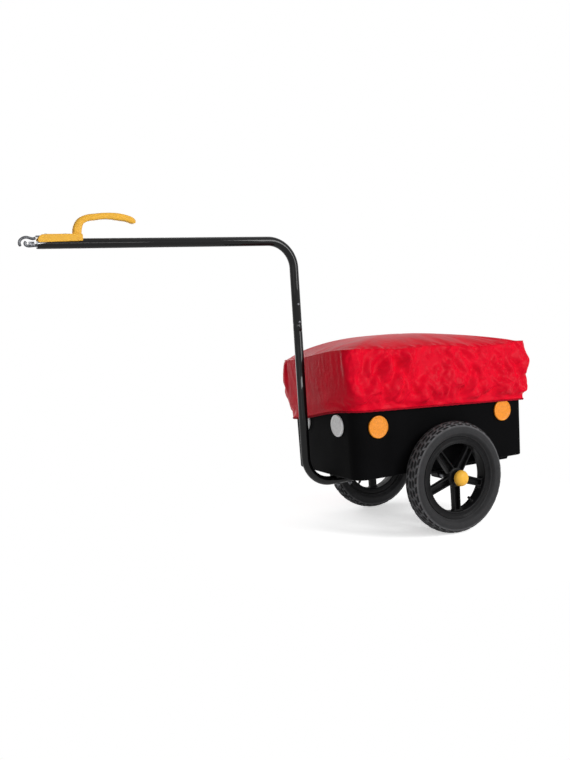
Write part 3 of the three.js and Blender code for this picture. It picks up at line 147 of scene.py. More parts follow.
# [start, end, shift and slant in pitches, length share] of each row of lugs from the crown out
LUG_ROWS = (
    (0.03, 0.35, 0.0, 0.6, 0.8), (0.39, 0.68, 0.5, 0.9, 0.78), (0.72, 1.0, 0.05, -0.5, 0.76),
)
LUG_EDGE = 0.07
LUG_ROW_EDGE = 0.045
LUG_SIDE_SHIFT = 0.25  # of a pitch, between the tread's two sides
DUST_LAYER = "dust"
WALL_DUST_SHARE = 0.2
SHOULDER_ANGLES = (74, 82, 90)  # degrees from the crown
# [radius, half width] from the widest place down the side wall to the bead and back up inside
TYRE_SIDE = (
    (131.5, 28.3), (128.6, 27.4), (127.4, 27.7), (126.2, 26.7), (123.5, 24.2), (121, 20.6),
    (118.6, 15.4), (112, 13.2), (105.9, 10.6), (110, 8.4), (118.8, 18.4), (126, 22.2), (134, 24.3),
)
TYRE_LINING = ((143, 22.6), (149.2, 14.2), (150.6, 0))
# [radius, half width] from the rim's inner edge over both lips to its bed
RIM_SIDE = (
    (96, 13.2), (96.2, 15.2), (97, 17.1), (98.6, 18), (100.4, 17.7), (101.6, 16.5), (103, 15.9),
    (107, 15.7), (111, 15.9), (112.6, 16.7), (114, 18.2), (115.4, 18.9), (116.7, 18.8),
    (117.6, 17.9), (117.8, 16.4), (117.8, 14.5), (105, 13.8), (101, 8),
)
RIM_STEPS = 160
SPOKE_COUNT = 5
HUB_RADIUS = 20
HUB_SIDES = 64
RIM_INNER_RADIUS = 96
PLATE_INTO_RIM = 2.5
PLATE_INTO_HUB = 2
PLATE_BORE_SIDES = 48
SPOKE_HUB_WIDTH = 24.5
SPOKE_RIM_WIDTH = 22
SPOKE_OUTER_FACE = 9
SPOKE_INNER_FACE = -7
SPOKE_WEB = 4
SPOKE_WEB_OVERLAP = 1.5
SPOKE_WEB_SINK = 0.4
SPOKE_WEB_BEVEL = 0.2
SPOKE_RIDGE = 4
SPOKE_BEVEL = 1.3
POCKET_HUB_RADIUS = 27
POCKET_RIM_RADIUS = 93
POCKET_ROUND = 3
WINDOW_HUB_ROUND = 7
WINDOW_RIM_ROUND = 8
WINDOW_ARC_STEPS = 16
WINDOW_CORNER_STEPS = 8
# [radius, height] of the hub, from its bore out over both ends
HUB_SIDE = (
    (9, 29), (14, 29), (14.6, 28.4), (14.6, 26.4), (15, 26), (18.6, 26), (20, 24.6), (20.2, 15),
    (21.2, 11.4), (23.6, 9.4), (26, 8.9), (26, 0),
)
HUB_INNER_SIDE = (
    (26, -6.9), (23.4, -7.6), (21.2, -9.4), (20.2, -12.4), (20, -24.6), (18.6, -26), (9, -26),
)
CAP_RADIUS = 22.5
CAP_FOOT = 26.3
# [radius share, height] of the hub cap's outside, from its foot
CAP_OUTSIDE = (
    (0.965, 0), (1, 0.8), (1, 5.2), (0.985, 6.6), (0.94, 9.2), (0.86, 12), (0.74, 14.6),
    (0.58, 16.7), (0.4, 18), (0.2, 18.6), (0.03, 18.7),
)
CAP_INSIDE = ((0.03, 16), (0.5, 14.4), (0.78, 9.6), (0.852, 5), (0.852, 0))
VALVE_ANGLE = 234
VALVE_BOSS_RADIUS = 6.5
VALVE_BOSS_HEIGHT = 3.2
VALVE_BOSS_SIDES = 28
# [radius share, height share] of the boss, from inside the rim to its top
VALVE_BOSS_SHARES = ((1.25, -3), (1.05, -0.4), (0.94, 0.5), (0.78, 0.92), (0.55, 1))
BUSH_FOOT = 26.3
BUSH_FACE = 27.5
BUSH_END = 9.5
BUSH_BORE = 6.2
BUSH_SLEEVE = 8.7
BUSH_FLANGE = 11
BUSH_SIDES = 40

# Sizes on the axle
AXLE_RADIUS = 6
AXLE_CHAMFER = 1
AXLE_SIDES = 40
POINT_RADIUS = 0.4  # of the smallest ring that closes a turned end
NUT_SIDES = 60
# [radius, height, whether it is hexagonal] of a flanged nut, from its foot out and over its top
NUT_SIDE = (
    (6.3, 0.3, False), (10.5, 0, False), (10.8, 0.5, False), (10.8, 1.2, False),
    (10.2, 1.6, False), (9.4, 1.8, False), (10.4, 2.6, True), (10.4, 8.4, True),
    (8.6, 9.4, False), (7, 9.5, False), (6.3, 8.9, False),
)
SPACER_BORE = 6.2
SPACER_RADIUS = 9.5
SPACER_CHAMFER = 0.5

# Sizes of the drawbar
TUBE_RADIUS = 12.7
TUBE_WALL = 1.5
TUBE_BEND = 76
TUBE_SIDES = 48
BEND_STEPS = 28
UPRIGHT_X = TUB_FRONT + 59.3
TUBE_TOP = AXLE_HEIGHT + 692.7
TUBE_REAR = -25
SEAM_HEIGHT = AXLE_HEIGHT + 439.5
TUBE_FRONT = highest("upper_drawbar").x
NECK_GAP = 0.3
NECK_LENGTH = 102
NECK_TAPER = 8
NECK_END_LENGTH = 1
NECK_END_DEPTH = 0.6
SEAM_GAP = 0.3
SEAM_ROUND = 0.8
SEAM_MIDDLE = (0.25, 0.3)  # [height, depth] half way round the rounded seam
SEAM_LEDGE = 0.05
SWAGE_HEIGHT = 16
SWAGE_DEPTH = 0.35
SWAGE_SHOULDER = 1.5
SWAGE_LENGTH = 5
TUBE_END_CHAMFER = 0.5
NOSE_LENGTH = 49
NOSE_REAR_HEIGHT = 6.8
NOSE_FRONT_HEIGHT = -2.7
BUTTON_HEIGHTS = {"upper": SEAM_HEIGHT + 75, "lower": SEAM_HEIGHT + 25}
# [radius, reach from the tube's middle line] of a snap button
BUTTON_SIDE = (
    (0.1, 5.6), (5, 5.6), (5, 7.1), (4, 7.1), (4, 13.8), (3.85, 14.5), (3.4, 15.1), (2.5, 15.5),
    (1.2, 15.68), (0.1, 15.7),
)
BUTTON_SIDES = 36

# Sizes of the coupling
LEVER_FRONT = TUBE_FRONT - 2
LEVER_REAR = LEVER_FRONT - 108
LEVER_HALF_WIDTH = 16
LEVER_SIDE = 2.8
LEVER_TOP = 22.3
LEVER_ROOF = 14
LEVER_ROOF_REAR = 17.4
LEVER_BOTTOM_REAR = 4.8
LEVER_BOTTOM_FRONT = 2.2
LEVER_BEVEL = 2.4
LEVER_ROUND = 4
CHEEK_BEVEL = 0.6
ROOF_INSET = 0.2
ROOF_CENTRE_RISE = 3  # of the place that the roof's outline is sorted round
LEVER_VOXEL = 0.75
LEVER_RELAX_ROUNDS = 4
PIVOT_INSET = 10
HANDLE_LENGTH = 137.5
HANDLE_HEIGHT = 67.4
HANDLE_HALF_THICKNESS = 11.5
HANDLE_HALF_WIDTH = 10
HANDLE_STEPS = 48
HANDLE_SIDES = 28
HANDLE_TIP_START = 0.95
HANDLE_TIP_LENGTH = 0.05
HANDLE_TIP_LEAST = 0.25
# [length share, height share, thickness share] along the handle's middle line, from foot to tip
HANDLE_SHARES = (
    (-0.087, 0.25, 1), (-0.065, 0.564, 0.974), (-0.007, 0.786, 0.835), (0.102, 0.912, 0.748),
    (0.262, 0.964, 0.739), (0.473, 1, 0.713), (0.684, 0.969, 0.817), (0.851, 0.905, 0.757),
    (0.945, 0.825, 0.713), (1, 0.739, 0.435),
)
BAR_RADIUS = 3.5
BAR_SIDES = 20
BAR_STEPS = 60
BAR_END_STEPS = 3
BAR_END_LEAST = 0.02
JAW_EDGE = 0.6
JAW_REACH = 39.9
JAW_HEIGHT = 17.9
UPPER_JAW_SHARES = (
    (0.038, 0.793), (0.175, 0.698), (0.351, 0.782), (0.564, 0.905),
    (0.789, 0.793), (0.962, 0.447), (1, 0.034), (0.935, -0.302),
)
LOWER_JAW_SHARES = (
    (-0.476, -0.168), (-0.125, -0.168), (0.276, -0.257), (0.501, -0.268), (0.637, -0.145),
    (0.672, 0.112), (0.596, 0.346),
)
TANG_REAR = LEVER_REAR + 27
TANG_FRONT = LEVER_FRONT + 3
TANG_HALF_WIDTH = 5
TANG_HEIGHT = 16.1
TANG_THICKNESS = 3.6
ANVIL_REAR = 5.5
ANVIL_LENGTH = 12.5
ANVIL_TOP = 5
ANVIL_HALF_WIDTH = 4.5
BLOCK_LENGTH = 55
BLOCK_TOP = 6
BLOCK_GAP = 0.3
BLOCK_CHAMFER = 1
BLOCK_END_SHARE = 0.93
BLOCK_EDGE = 0.4
LEVER_BOLTS = {"front": LEVER_FRONT - 22, "rear": LEVER_FRONT - 68}
# [x, depth under the top] of the lever's upper line, from its nose to its heel
LEVER_TOP_LINE = (
    (LEVER_FRONT, 10), (LEVER_FRONT - 8, 1.2), (LEVER_BOLTS["front"], 0.2),
    (LEVER_BOLTS["rear"] + 9, 0), (LEVER_REAR, 0),
)
LEVER_BOSSES = {"rear": (7.5, 1.1), "front": (6.5, 0.5)}  # [radius, rise]
BOSS_SIDES = 32
BOSS_SINK = 3
BOSS_EDGE_HEIGHT = 0.5
BOSS_EDGE_WIDTH = 0.8
BOLT_SIDES = 36
# [radius, height over the lever] of a lever screw, up its shank and over its dome
BOLT_OUTSIDE = (
    (1.9, -5.6), (2, 0.3), (4.9, 0.35), (5, 0.8), (4.6, 1.5), (3.8, 2.05), (2.9, 2.35),
)
# The same down into its hexagon socket
BOLT_SOCKET = ((2.3, 2.3), (2.2, 0.9), (0.2, 0.6))
SPRING_X = TUBE_FRONT - 35
SPRING_RADIUS = 3.4
SPRING_WIRE = 0.6
SPRING_TURNS = 3
SPRING_TURN_STEPS = 32
SPRING_SIDES = 10
SPRING_LOW = BLOCK_TOP + 0.9
SPRING_HIGH = LEVER_ROOF - 0.9

# Sizes of the reflectors
REFLECTOR_RADIUS = 31
REFLECTOR_THICKNESS = 6
# [radius share, height] from the back over the rim to the middle of the lens
REFLECTOR_SIDE = (
    (0.2, 0), (0.97, 0), (1, 0.8), (1, 4.7), (0.985, 5.5), (0.96, 5.9), (0.93, 6), (0.905, 5.8),
    (0.895, 5.2), (0.88, 5.05), (0.6, 5.3), (0.3, 5.5), (0.02, 5.6),
)
REFLECTOR_SIDES = 72
REFLECTOR_CREASE = 50

# Sizes of the cover
COVER_EASE = 3.6  # between the tub's lip and the hem
COVER_OVER_LIP = TUB_DRAFT + TUB_LIP_OUT + COVER_EASE
REAR_CORNER = 18
# [height share from hem to edge, radius] of the corners in front
FRONT_CORNER = ((0, 46), (0.12, 44), (0.4, 32), (1, 28))
COVER_THICKNESS = 0.7
COVER_CLEAR = 1.2
COVER_CREASE = 80
COVER_STEPS = (14, 106, 64)  # round a corner, along a side, across an end
COVER_LEVELS = 31
COVER_EDGE_LEVELS = 5
# Heights of the hem over the floor at the rear and in front, on the left and on the right
HEM_LEFT = (352.5, 374.5)
HEM_RIGHT = (346, 334)
# [length share from rear to front, height over the tub's lip] of the cover's edge on each side
EDGE_LEFT = (
    (0, 16), (0.07, 12), (0.27, 11), (0.4, 18), (0.54, 25), (0.72, 23), (0.92, 30), (1, 32),
)
EDGE_RIGHT = ((0, 14), (0.25, 11), (0.5, 23), (0.8, 15), (0.94, 3), (1, 1))
# [height share from hem to edge, how far the sides, the front and the rear stand out]
SKIRT_BULGE = (
    (0, 0, 0, 0), (0.08, 1, 2, 1), (0.15, 3, 4, 11), (0.24, 4, 8, 14), (0.4, 5, 11, 10),
    (0.62, 7, 15, 17), (0.82, 6, 17, 18), (0.93, 4, 15, 13), (1, 0, 10, 8),
)
# How far out the rings of the top lie, from its edge inwards
DOME_SHARES = (
    0.988, 0.972, 0.95, 0.925, 0.89, 0.845, 0.79, 0.72, 0.64, 0.55, 0.46, 0.37, 0.28, 0.19, 0.1,
)
DOME_POWER = 3
DOME_REAR_FALL = 1.3  # how much lower that power is at the rear
DOME_AHEAD = 35  # of the top's highest place, before the axle
HEM_TAUT = 0.17  # of the skirt's height, over which the hem holds the cloth smooth
EDGE_HOLD = 0.6  # how firmly the edge is held while the cloth settles
REAR_SLACK_SHARE = 0.4
CLOTH = {
    "quality": 5, "mass": 0.12, "tension_stiffness": 15, "compression_stiffness": 15,
    "shear_stiffness": 8, "air_damping": 2, "shrink_max": 0,
}
CLOTH_GRAVITY = 0.1
# [size, height] of the uneven pushes that start the creases
CREASE_SEEDS = ((38, 5), (17, 2))
CREASE_START = (3.1, 8.7, 0.4)  # where in the noise the creases and crumples are read
# [width, height] of the ridged noise that crumples the cloth in two leaning directions
CRUMPLES = ((56, 22), (25, 7))
CRUMPLE_LEANS = (0.75, -0.6)
CRUMPLE_STRETCH = 2.6
CRUMPLE_MEAN = 0.22
DOME_CRUMPLE_SHARE = 0.2
DOME_CRUMPLE_LEVELS = 9
EDGE_CLEAR_LEVELS = 3  # over which the crumples fade towards the edge
PUCKER_PITCH = 9.5
PUCKER_DEPTH = 1.3
PUCKER_FADE = 16
PUCKER_LUMP = 25  # size of the noise that makes the puckers uneven
PUCKER_UNEVEN = 1.6
PUCKER_DRIFT = 3
PUCKER_STRENGTH = (0.7, 0.5)  # of its depth: in the middle, and by how much it is uneven
PUCKER_WAVE = (0.6, 0.5)  # of its strength: in the middle, and in the waves
ELASTIC_RADIUS = 2.3
ELASTIC_SIDES = 12
ELASTIC_RIB = 0.16
ELASTIC_RIB_PITCH = 7.0
PIPING_RADIUS = 1.2
PIPING_SIDES = 10

# Steps and limits of the meshes
WELD = 1e-7
CREASE = 35
ROUND_STEPS = 6
SLAB_ROUND_STEPS = 2
BEVEL_SEGMENTS = 2
LEAST_STEP = 1e-6

# The stage, in metres from the middle of the frame
LAMP_TARGET = (0.05, 0, 0.4)
# [name, place, width, height]
LAMPS = (
    ("key", (-1.7, 2.8, 1.5), 0.9, 1.9),
    ("strip", (0.45, 3.1, 1.15), 2.2, 0.2),
    ("fill", (2.6, 2.2, 1.2), 1.6, 1.6),
    ("top", (0.1, -0.4, 3.0), 2.6, 2.6),
    ("back", (0.1, -2.8, 1.1), 1.8, 1.8),
)
FLOOR_SIDES = 96
FLOOR_RADII = (400, 1500, 6000, 26000)  # in millimetres
FLOOR_FADE = (0.27, 0.7)  # from the axle, over which the floor turns to plain white
FLOOR_FADE_START = 0.5
SENSOR_WIDTH = 36
VIEW_END = 60


# Colours and helpers of the finishes

def linear(code):
    """An sRGB hex code as linear RGBA."""
    values = [int(code[i:i + 2], 16) / 255 for i in (0, 2, 4)]
    return [v / 12.92 if v <= 0.04045 else ((v + 0.055) / 1.055) ** 2.4 for v in values] + [1.0]


def shaded(colour, share):
    """A linear colour made lighter or darker by a share."""
    return [min(1.0, channel * share) for channel in colour[:3]] + [1.0]


def per_metre(millimetres):
    """The texture scale that repeats a pattern once in this many millimetres."""
    return 1 / (millimetres * MM)


def add_node(tree, kind, links=None, values=None, ramp=None, **settings):
    """Adds a node: its settings, its constant sockets, its links and its colour ramp's stops."""
    node = tree.nodes.new(kind)
    for name, value in settings.items():
        setattr(node, name, value)
    for socket, value in (values or {}).items():
        node.inputs[socket].default_value = value
    for socket, source in (links or {}).items():
        tree.links.new(source, node.inputs[socket])
    for index, (position, colour) in enumerate(ramp or ()):
        stops = node.color_ramp.elements
        stop = stops[index] if index < len(stops) else stops.new(position)
        stop.position = position
        stop.color = colour
    return node


def new_finish(name, colour, roughness, **sockets):
    """A material with its shader's constant sockets set, its node tree and the shader."""
    material = bpy.data.materials.new(name)
    material.use_nodes = True
    material.diffuse_color = colour
    shader = material.node_tree.nodes["Principled BSDF"]
    shader.inputs["Base Color"].default_value = colour
    shader.inputs["Roughness"].default_value = roughness
    for socket, value in sockets.items():
        shader.inputs[socket.replace("_", " ")].default_value = value
    return material, material.node_tree, shader


def object_places(tree):
    """The socket that gives each point's place in its own object."""
    return add_node(tree, "ShaderNodeTexCoord").outputs["Object"]


def mottle(tree, places, size, detail=3.0, rough=0.55, stretch=None):
    """A noise with lumps of a size in millimetres."""
    if stretch:
        mapping = add_node(tree, "ShaderNodeMapping", {"Vector": places}, {"Scale": stretch})
        places = mapping.outputs["Vector"]
    texture = add_node(
        tree, "ShaderNodeTexNoise", {"Vector": places},
        {"Scale": per_metre(size), "Detail": detail, "Roughness": rough},
    )
    return texture.outputs["Fac"]


def spread(tree, source, low, high, start=0.3, end=0.7):
    """A pattern's values spread between two numbers."""
    node = add_node(
        tree, "ShaderNodeMapRange", {"Value": source},
        {"From Min": start, "From Max": end, "To Min": low, "To Max": high},
    )
    return node.outputs["Result"]


def tint(tree, shader, source, dark, light, start=0.3, end=0.7):
    """Colours a surface between two colours by a pattern."""
    ramp = add_node(
        tree, "ShaderNodeValToRGB", {"Fac": source}, ramp=((start, dark), (end, light)),
    )
    tree.links.new(ramp.outputs["Color"], shader.inputs["Base Color"])
    return ramp.outputs["Color"]


def emboss(tree, shader, *layers):
    """Raises a surface by patterns, each with its height in millimetres."""
    normal = None
    for source, height in layers:
        links = {"Height": source}
        if normal:
            links["Normal"] = normal
        node = add_node(tree, "ShaderNodeBump", links, {"Strength": 1.0, "Distance": height * MM})
        normal = node.outputs["Normal"]
    tree.links.new(normal, shader.inputs["Normal"])


# Finishes

def spark_grained_polyethylene(colour):
    """Rotationally moulded polyethylene: a dull sheen with fine grain, uneven over large areas."""
    material, tree, shader = new_finish(
        "spark_grained_polyethylene", colour, 0.6, Specular_IOR_Level=0.02,
    )
    places = object_places(tree)
    # A 0.4 mm spark grain is too fine for the picture, so it is drawn 1.1 mm wide.
    grain = mottle(tree, places, 1.1, 2.0)
    cloud = mottle(tree, places, 70, 3.0)
    tint(tree, shader, cloud, shaded(colour, 0.8), shaded(colour, 1.3))
    tree.links.new(spread(tree, cloud, 0.54, 0.66), shader.inputs["Roughness"])
    emboss(tree, shader, (mottle(tree, places, 85, 1.0), 1.2), (grain, 0.09))
    return material


def powder_coated_tube(colour):
    """Gloss powder coat on steel tube: sharp highlights with the faint orange peel of paint."""
    material, tree, shader = new_finish(
        "powder_coated_tube", colour, 0.4, Specular_IOR_Level=0.03, Coat_Weight=0.42,
        Coat_Roughness=0.05,
    )
    places = object_places(tree)
    peel = mottle(tree, places, 2.4, 1.0)
    tree.links.new(spread(tree, mottle(tree, places, 45), 0.35, 0.45), shader.inputs["Roughness"])
    emboss(tree, shader, (peel, 0.03))
    return material


def zinc_plated_steel(colour):
    """Turned steel with bright zinc: a soft metal shine with faint streaks and a dull bloom."""
    material, tree, shader = new_finish("zinc_plated_steel", colour, 0.34, Metallic=1.0)
    places = object_places(tree)
    streaks = mottle(tree, places, 3, 2.0, stretch=(1, 1, 8))
    bloom = mottle(tree, places, 9)
    tint(tree, shader, bloom, shaded(colour, 0.78), shaded(colour, 1.08))
    tree.links.new(spread(tree, bloom, 0.26, 0.45), shader.inputs["Roughness"])
    emboss(tree, shader, (streaks, 0.03))
    return material


def forged_steel(colour):
    """Forged and blacked steel rubbed bright where it works: dark with lighter worn patches."""
    material, tree, shader = new_finish("forged_steel", colour, 0.4, Metallic=1.0)
    places = object_places(tree)
    wear = mottle(tree, places, 6, 4.0)
    tint(tree, shader, wear, shaded(colour, 0.55), shaded(colour, 1.35), 0.4, 0.62)
    tree.links.new(spread(tree, wear, 0.5, 0.3), shader.inputs["Roughness"])
    emboss(tree, shader, (mottle(tree, places, 1.2), 0.05))
    return material


def spring_steel(colour):
    """Drawn spring wire and strip: smooth, with a bluish oiled shine."""
    material, tree, shader = new_finish("spring_steel", colour, 0.28, Metallic=1.0)
    places = object_places(tree)
    tint(tree, shader, mottle(tree, places, 5), shaded(colour, 0.8), shaded(colour, 1.15))
    emboss(tree, shader, (mottle(tree, places, 0.8, 1.0), 0.01))
    return material


def vulcanised_rubber(colour, dust):
    """Vulcanised tyre rubber: dead matt, with grey dust that stays in the tread's grooves."""
    material, tree, shader = new_finish("vulcanised_rubber", colour, 0.62, Specular_IOR_Level=0.1)
    places = object_places(tree)
    dusted = add_node(tree, "ShaderNodeAttribute", attribute_name=DUST_LAYER)
    patches = mottle(tree, places, 14, 4.0)
    share = add_node(
        tree, "ShaderNodeMath",
        {0: dusted.outputs["Fac"], 1: spread(tree, patches, 0.6, 1.0)}, operation="MULTIPLY",
    )
    mix = add_node(
        tree, "ShaderNodeMix", {"Factor": share.outputs["Value"]}, data_type="RGBA",
    )
    mix.inputs[6].default_value = colour
    mix.inputs[7].default_value = dust
    tree.links.new(mix.outputs[2], shader.inputs["Base Color"])
    tree.links.new(spread(tree, patches, 0.55, 0.75), shader.inputs["Roughness"])
    # The skin's fine grain, about 0.3 mm on a real tyre, is drawn 0.9 mm wide.
    emboss(tree, shader, (mottle(tree, places, 0.9), 0.06))
    return material


def glass_filled_nylon(colour):
    """Injection moulded glass-filled nylon: satin black with faint cloudy flow marks."""
    material, tree, shader = new_finish("glass_filled_nylon", colour, 0.36, Specular_IOR_Level=0.08)
    places = object_places(tree)
    flow = mottle(tree, places, 12, 4.0)
    tint(tree, shader, flow, shaded(colour, 0.8), shaded(colour, 1.25))
    tree.links.new(spread(tree, flow, 0.3, 0.42), shader.inputs["Roughness"])
    emboss(tree, shader, (mottle(tree, places, 1.0, 2.0), 0.03))
    return material


def moulded_nylon(colour):
    """Small injection moulded nylon parts: black, satin, very lightly grained."""
    material, tree, shader = new_finish("moulded_nylon", colour, 0.48, Specular_IOR_Level=0.12)
    places = object_places(tree)
    patches = mottle(tree, places, 8)
    tint(tree, shader, patches, shaded(colour, 0.8), shaded(colour, 1.3))
    emboss(tree, shader, (mottle(tree, places, 0.8, 2.0), 0.05))
    return material


def moulded_abs(colour):
    """Injection moulded ABS: clean warm yellow with soft, slightly deeper patches."""
    material, tree, shader = new_finish("moulded_abs", colour, 0.36, Specular_IOR_Level=0.12)
    places = object_places(tree)
    patches = mottle(tree, places, 16)
    tint(tree, shader, patches, shaded(colour, 0.93), shaded(colour, 1.03))
    tree.links.new(spread(tree, patches, 0.29, 0.38), shader.inputs["Roughness"])
    emboss(tree, shader, (mottle(tree, places, 1.0, 2.0), 0.025))
    return material


def prismatic_acrylic(name, colour):
    """Moulded acrylic lens over corner cubes: a glassy skin over small cells, each tinted lighter
    or darker as a painted glint.
    """
    material, tree, shader = new_finish(
        name, colour, 0.3, Specular_IOR_Level=0.3, Coat_Weight=0.15, Coat_Roughness=0.06,
    )
    places = object_places(tree)
    # Corner cubes are 2.6 mm across.
    cells = add_node(
        tree, "ShaderNodeTexVoronoi", {"Vector": places},
        {"Scale": per_metre(2.6), "Randomness": 0.35},
    )
    # Painted glint: each cell's random value tints it lighter or darker, the way light would catch
    # single corner cubes.
    painted_glint = add_node(tree, "ShaderNodeSeparateColor", {"Color": cells.outputs["Color"]})
    tint(tree, shader, painted_glint.outputs["Red"], shaded(colour, 0.84), shaded(colour, 1.12), 0.1, 0.95)
    emboss(tree, shader, (cells.outputs["Distance"], 0.5))
    return material


def coated_nylon_taffeta(colour):
    """Plain-woven nylon with a coated back: a low silky sheen, fine crinkles, a hint of threads."""
    material, tree, shader = new_finish(
        "coated_nylon_taffeta", colour, 0.38, Specular_IOR_Level=0.06, Sheen_Weight=0.01,
    )
    places = object_places(tree)
    fade = mottle(tree, places, 45, 4.0)
    tint(tree, shader, fade, shaded(colour, 0.88), shaded(colour, 1.08))
    tree.links.new(spread(tree, fade, 0.33, 0.43), shader.inputs["Roughness"])
    # Threads are 0.25 mm apart on the real cloth and drawn 1.0 mm apart.
    threads = []
    for direction in ("X", "Z"):
        wave = add_node(
            tree, "ShaderNodeTexWave", {"Vector": places},
            {"Scale": per_metre(20), "Distortion": 0.0},
            wave_type="BANDS", bands_direction=direction,
        )
        threads.append(wave.outputs["Fac"])
    crinkle = mottle(tree, places, 11, 3.0)
    emboss(tree, shader, (crinkle, 0.9), (threads[0], 0.02), (threads[1], 0.02))
    return material


def braided_elastic(colour):
    """Braided elastic in a casing of the same cloth: matt and finely lumpy."""
    material, tree, shader = new_finish(
        "braided_elastic", colour, 0.75, Specular_IOR_Level=0.05, Sheen_Weight=0.03,
    )
    places = object_places(tree)
    tint(tree, shader, mottle(tree, places, 4), shaded(colour, 0.75), shaded(colour, 1.1))
    emboss(tree, shader, (mottle(tree, places, 1.5, 2.0), 0.2))
    return material


def moulded_acetal(colour):
    """Moulded acetal: off-white and waxy, as light enters it a little."""
    material, tree, shader = new_finish(
        "moulded_acetal", colour, 0.4, Subsurface_Weight=0.1, Subsurface_Scale=0.003,
    )
    places = object_places(tree)
    tint(tree, shader, mottle(tree, places, 6), shaded(colour, 0.9), shaded(colour, 1.05))
    emboss(tree, shader, (mottle(tree, places, 0.8, 2.0), 0.02))
    return material


def butyl_rubber(colour):
    """Butyl inner tube: black with a powdery bloom."""
    material, tree, shader = new_finish("butyl_rubber", colour, 0.7)
    places = object_places(tree)
    tint(tree, shader, mottle(tree, places, 10), shaded(colour, 0.8), shaded(colour, 1.6))
    emboss(tree, shader, (mottle(tree, places, 1.5), 0.05))
    return material


# Meshes

def smooth_line(points, steps):
    """Places along a centripetal Catmull-Rom line through points, evenly spread over its spans."""
    points = [np.array(point, float) for point in points]
    points = [2 * points[0] - points[1]] + points + [2 * points[-1] - points[-2]]
    spans = len(points) - 3
    line = []
    for step in range(steps + 1):
        spot = min(step / steps * spans, spans - 1e-9)
        first = int(spot)
        corners = points[first:first + 4]
        times = [0.0]
        for near, far in zip(corners, corners[1:]):
            times.append(times[-1] + math.sqrt(max(np.linalg.norm((far - near)[:2]), 1e-9)))
        time = times[1] + (spot - first) * (times[2] - times[1])
        for width in (1, 2):
            corners = [
                (corners[i] * (times[i + width] - time) + corners[i + 1] * (time - times[i]))
                / (times[i + width] - times[i])
                for i in range(len(corners) - 1)
            ]
        line.append(
            (corners[0] * (times[2] - time) + corners[1] * (time - times[1]))
            / (times[2] - times[1])
        )
    return line


def circle(radius, sides):
    angles = [2 * math.pi * i / sides for i in range(sides)]
    return [(radius * math.cos(a), radius * math.sin(a)) for a in angles]


def hexagon(radius, sides):
    """A hexagon drawn with as many points as the circles that it joins."""
    points = []
    for i in range(sides):
        angle = 2 * math.pi * i / sides
        off_flat = angle % (math.pi / 3) - math.pi / 6
        reach = radius * (math.cos(math.pi / 6) / math.cos(off_flat))
        points.append((reach * math.cos(angle), reach * math.sin(angle)))
    return points


def rectangle(rear, front, low, high):
    """A rectangle's corners, in order from the low rear one."""
    return [(rear, low), (front, low), (front, high), (rear, high)]


class Form:
    """Points in millimetres and the faces between them, gathered from several skins."""

    def __init__(self):
        self.points = []
        self.faces = []

    def skin(self, rings, endless=False, capped=True):
        """Joins rings of equally many points, with a cap on each end unless they meet."""
        start = len(self.points)
        count = len(rings[0])
        for ring in rings:
            self.points.extend(tuple(point) for point in ring)
        for row in range(len(rings) if endless else len(rings) - 1):
            low = start + row * count
            high = start + ((row + 1) % len(rings)) * count
            for i in range(count):
                following = (i + 1) % count
                self.faces.append((low + i, low + following, high + following, high + i))
        if capped and not endless:
            last = start + (len(rings) - 1) * count
            self.faces.append(tuple(reversed(range(start, start + count))))
            self.faces.append(tuple(range(last, last + count)))

    def zip_last(self, count):
        """Closes the last ring with a row of quads from one side of it to the other."""
        last = len(self.points) - count
        for i in range(count // 2 - 1):
            self.faces.append((last + i, last + i + 1, last + count - 2 - i, last + count - 1 - i))

    def turned(self, profile, steps, endless=False):
        """Turns [radius, height] points about Y."""
        self.skin(
            [[(x, height, z) for x, z in circle(radius, steps)] for radius, height in profile],
            endless,
        )

    def swept(self, line, section):
        """Moves a section of [across, sideways] points along places in the XZ plane."""
        rings = []
        for i, place in enumerate(line):
            ahead = np.array(line[min(i + 1, len(line) - 1)][:2]) - line[max(i - 1, 0)][:2]
            ahead = ahead / np.linalg.norm(ahead)
            across = (-ahead[1], ahead[0])
            rings.append([
                (place[0] + u * across[0], v, place[1] + u * across[1])
                for u, v in section(i / (len(line) - 1), place)
            ])
        self.skin(rings)

    def block(self, low, high):
        """An upright block between two corners, for a bevel to soften."""
        plan = rectangle(low[0], high[0], low[1], high[1])
        self.skin([[(x, y, z) for x, y in plan] for z in (low[2], high[2])])

    def take(self, mesh, turn):
        """Adds a Blender mesh whose points are in millimetres, turned by a matrix."""
        start = len(self.points)
        self.points.extend(tuple(turn @ vertex.co) for vertex in mesh.vertices)
        self.faces.extend(
            tuple(start + corner for corner in face.vertices) for face in mesh.polygons
        )

    def mesh(self, name, crease=CREASE):
        """The form as a Blender mesh in metres, faces outward, smooth except over sharp edges."""
        mesh = bpy.data.meshes.new(name)
        mesh.from_pydata([[v * MM for v in point] for point in self.points], [], self.faces)
        work = bmesh.new()
        work.from_mesh(mesh)
        bmesh.ops.remove_doubles(work, verts=work.verts, dist=WELD)
        bmesh.ops.recalc_face_normals(work, faces=work.faces)
        work.to_mesh(mesh)
        work.free()
        mesh.polygons.foreach_set("use_smooth", [True] * len(mesh.polygons))
        mesh.set_sharp_from_angle(angle=math.radians(crease))
        return mesh


def turned_form(profile, steps, endless=False):
    """A form turned about Y from [radius, height] points."""
    form = Form()
    form.turned(profile, steps, endless)
    return form


def add_piece(name, mesh, body, finish, nodes, origin=(0, 0, 0), turn=0.0):
    """Puts a mesh in place, gives it its finish and lets it ride and stand for its CAD nodes."""
    piece = bpy.data.objects.new(name, mesh)
    bpy.context.scene.collection.objects.link(piece)
    piece.location = (Vector(origin) + Vector((AXLE_X, 0, 0))) * MM
    piece.rotation_euler = (0, 0, turn)
    piece.data.materials.clear()
    piece.data.materials.append(finish)
    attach(piece, body)
    if nodes:
        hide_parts(*nodes)
    return piece


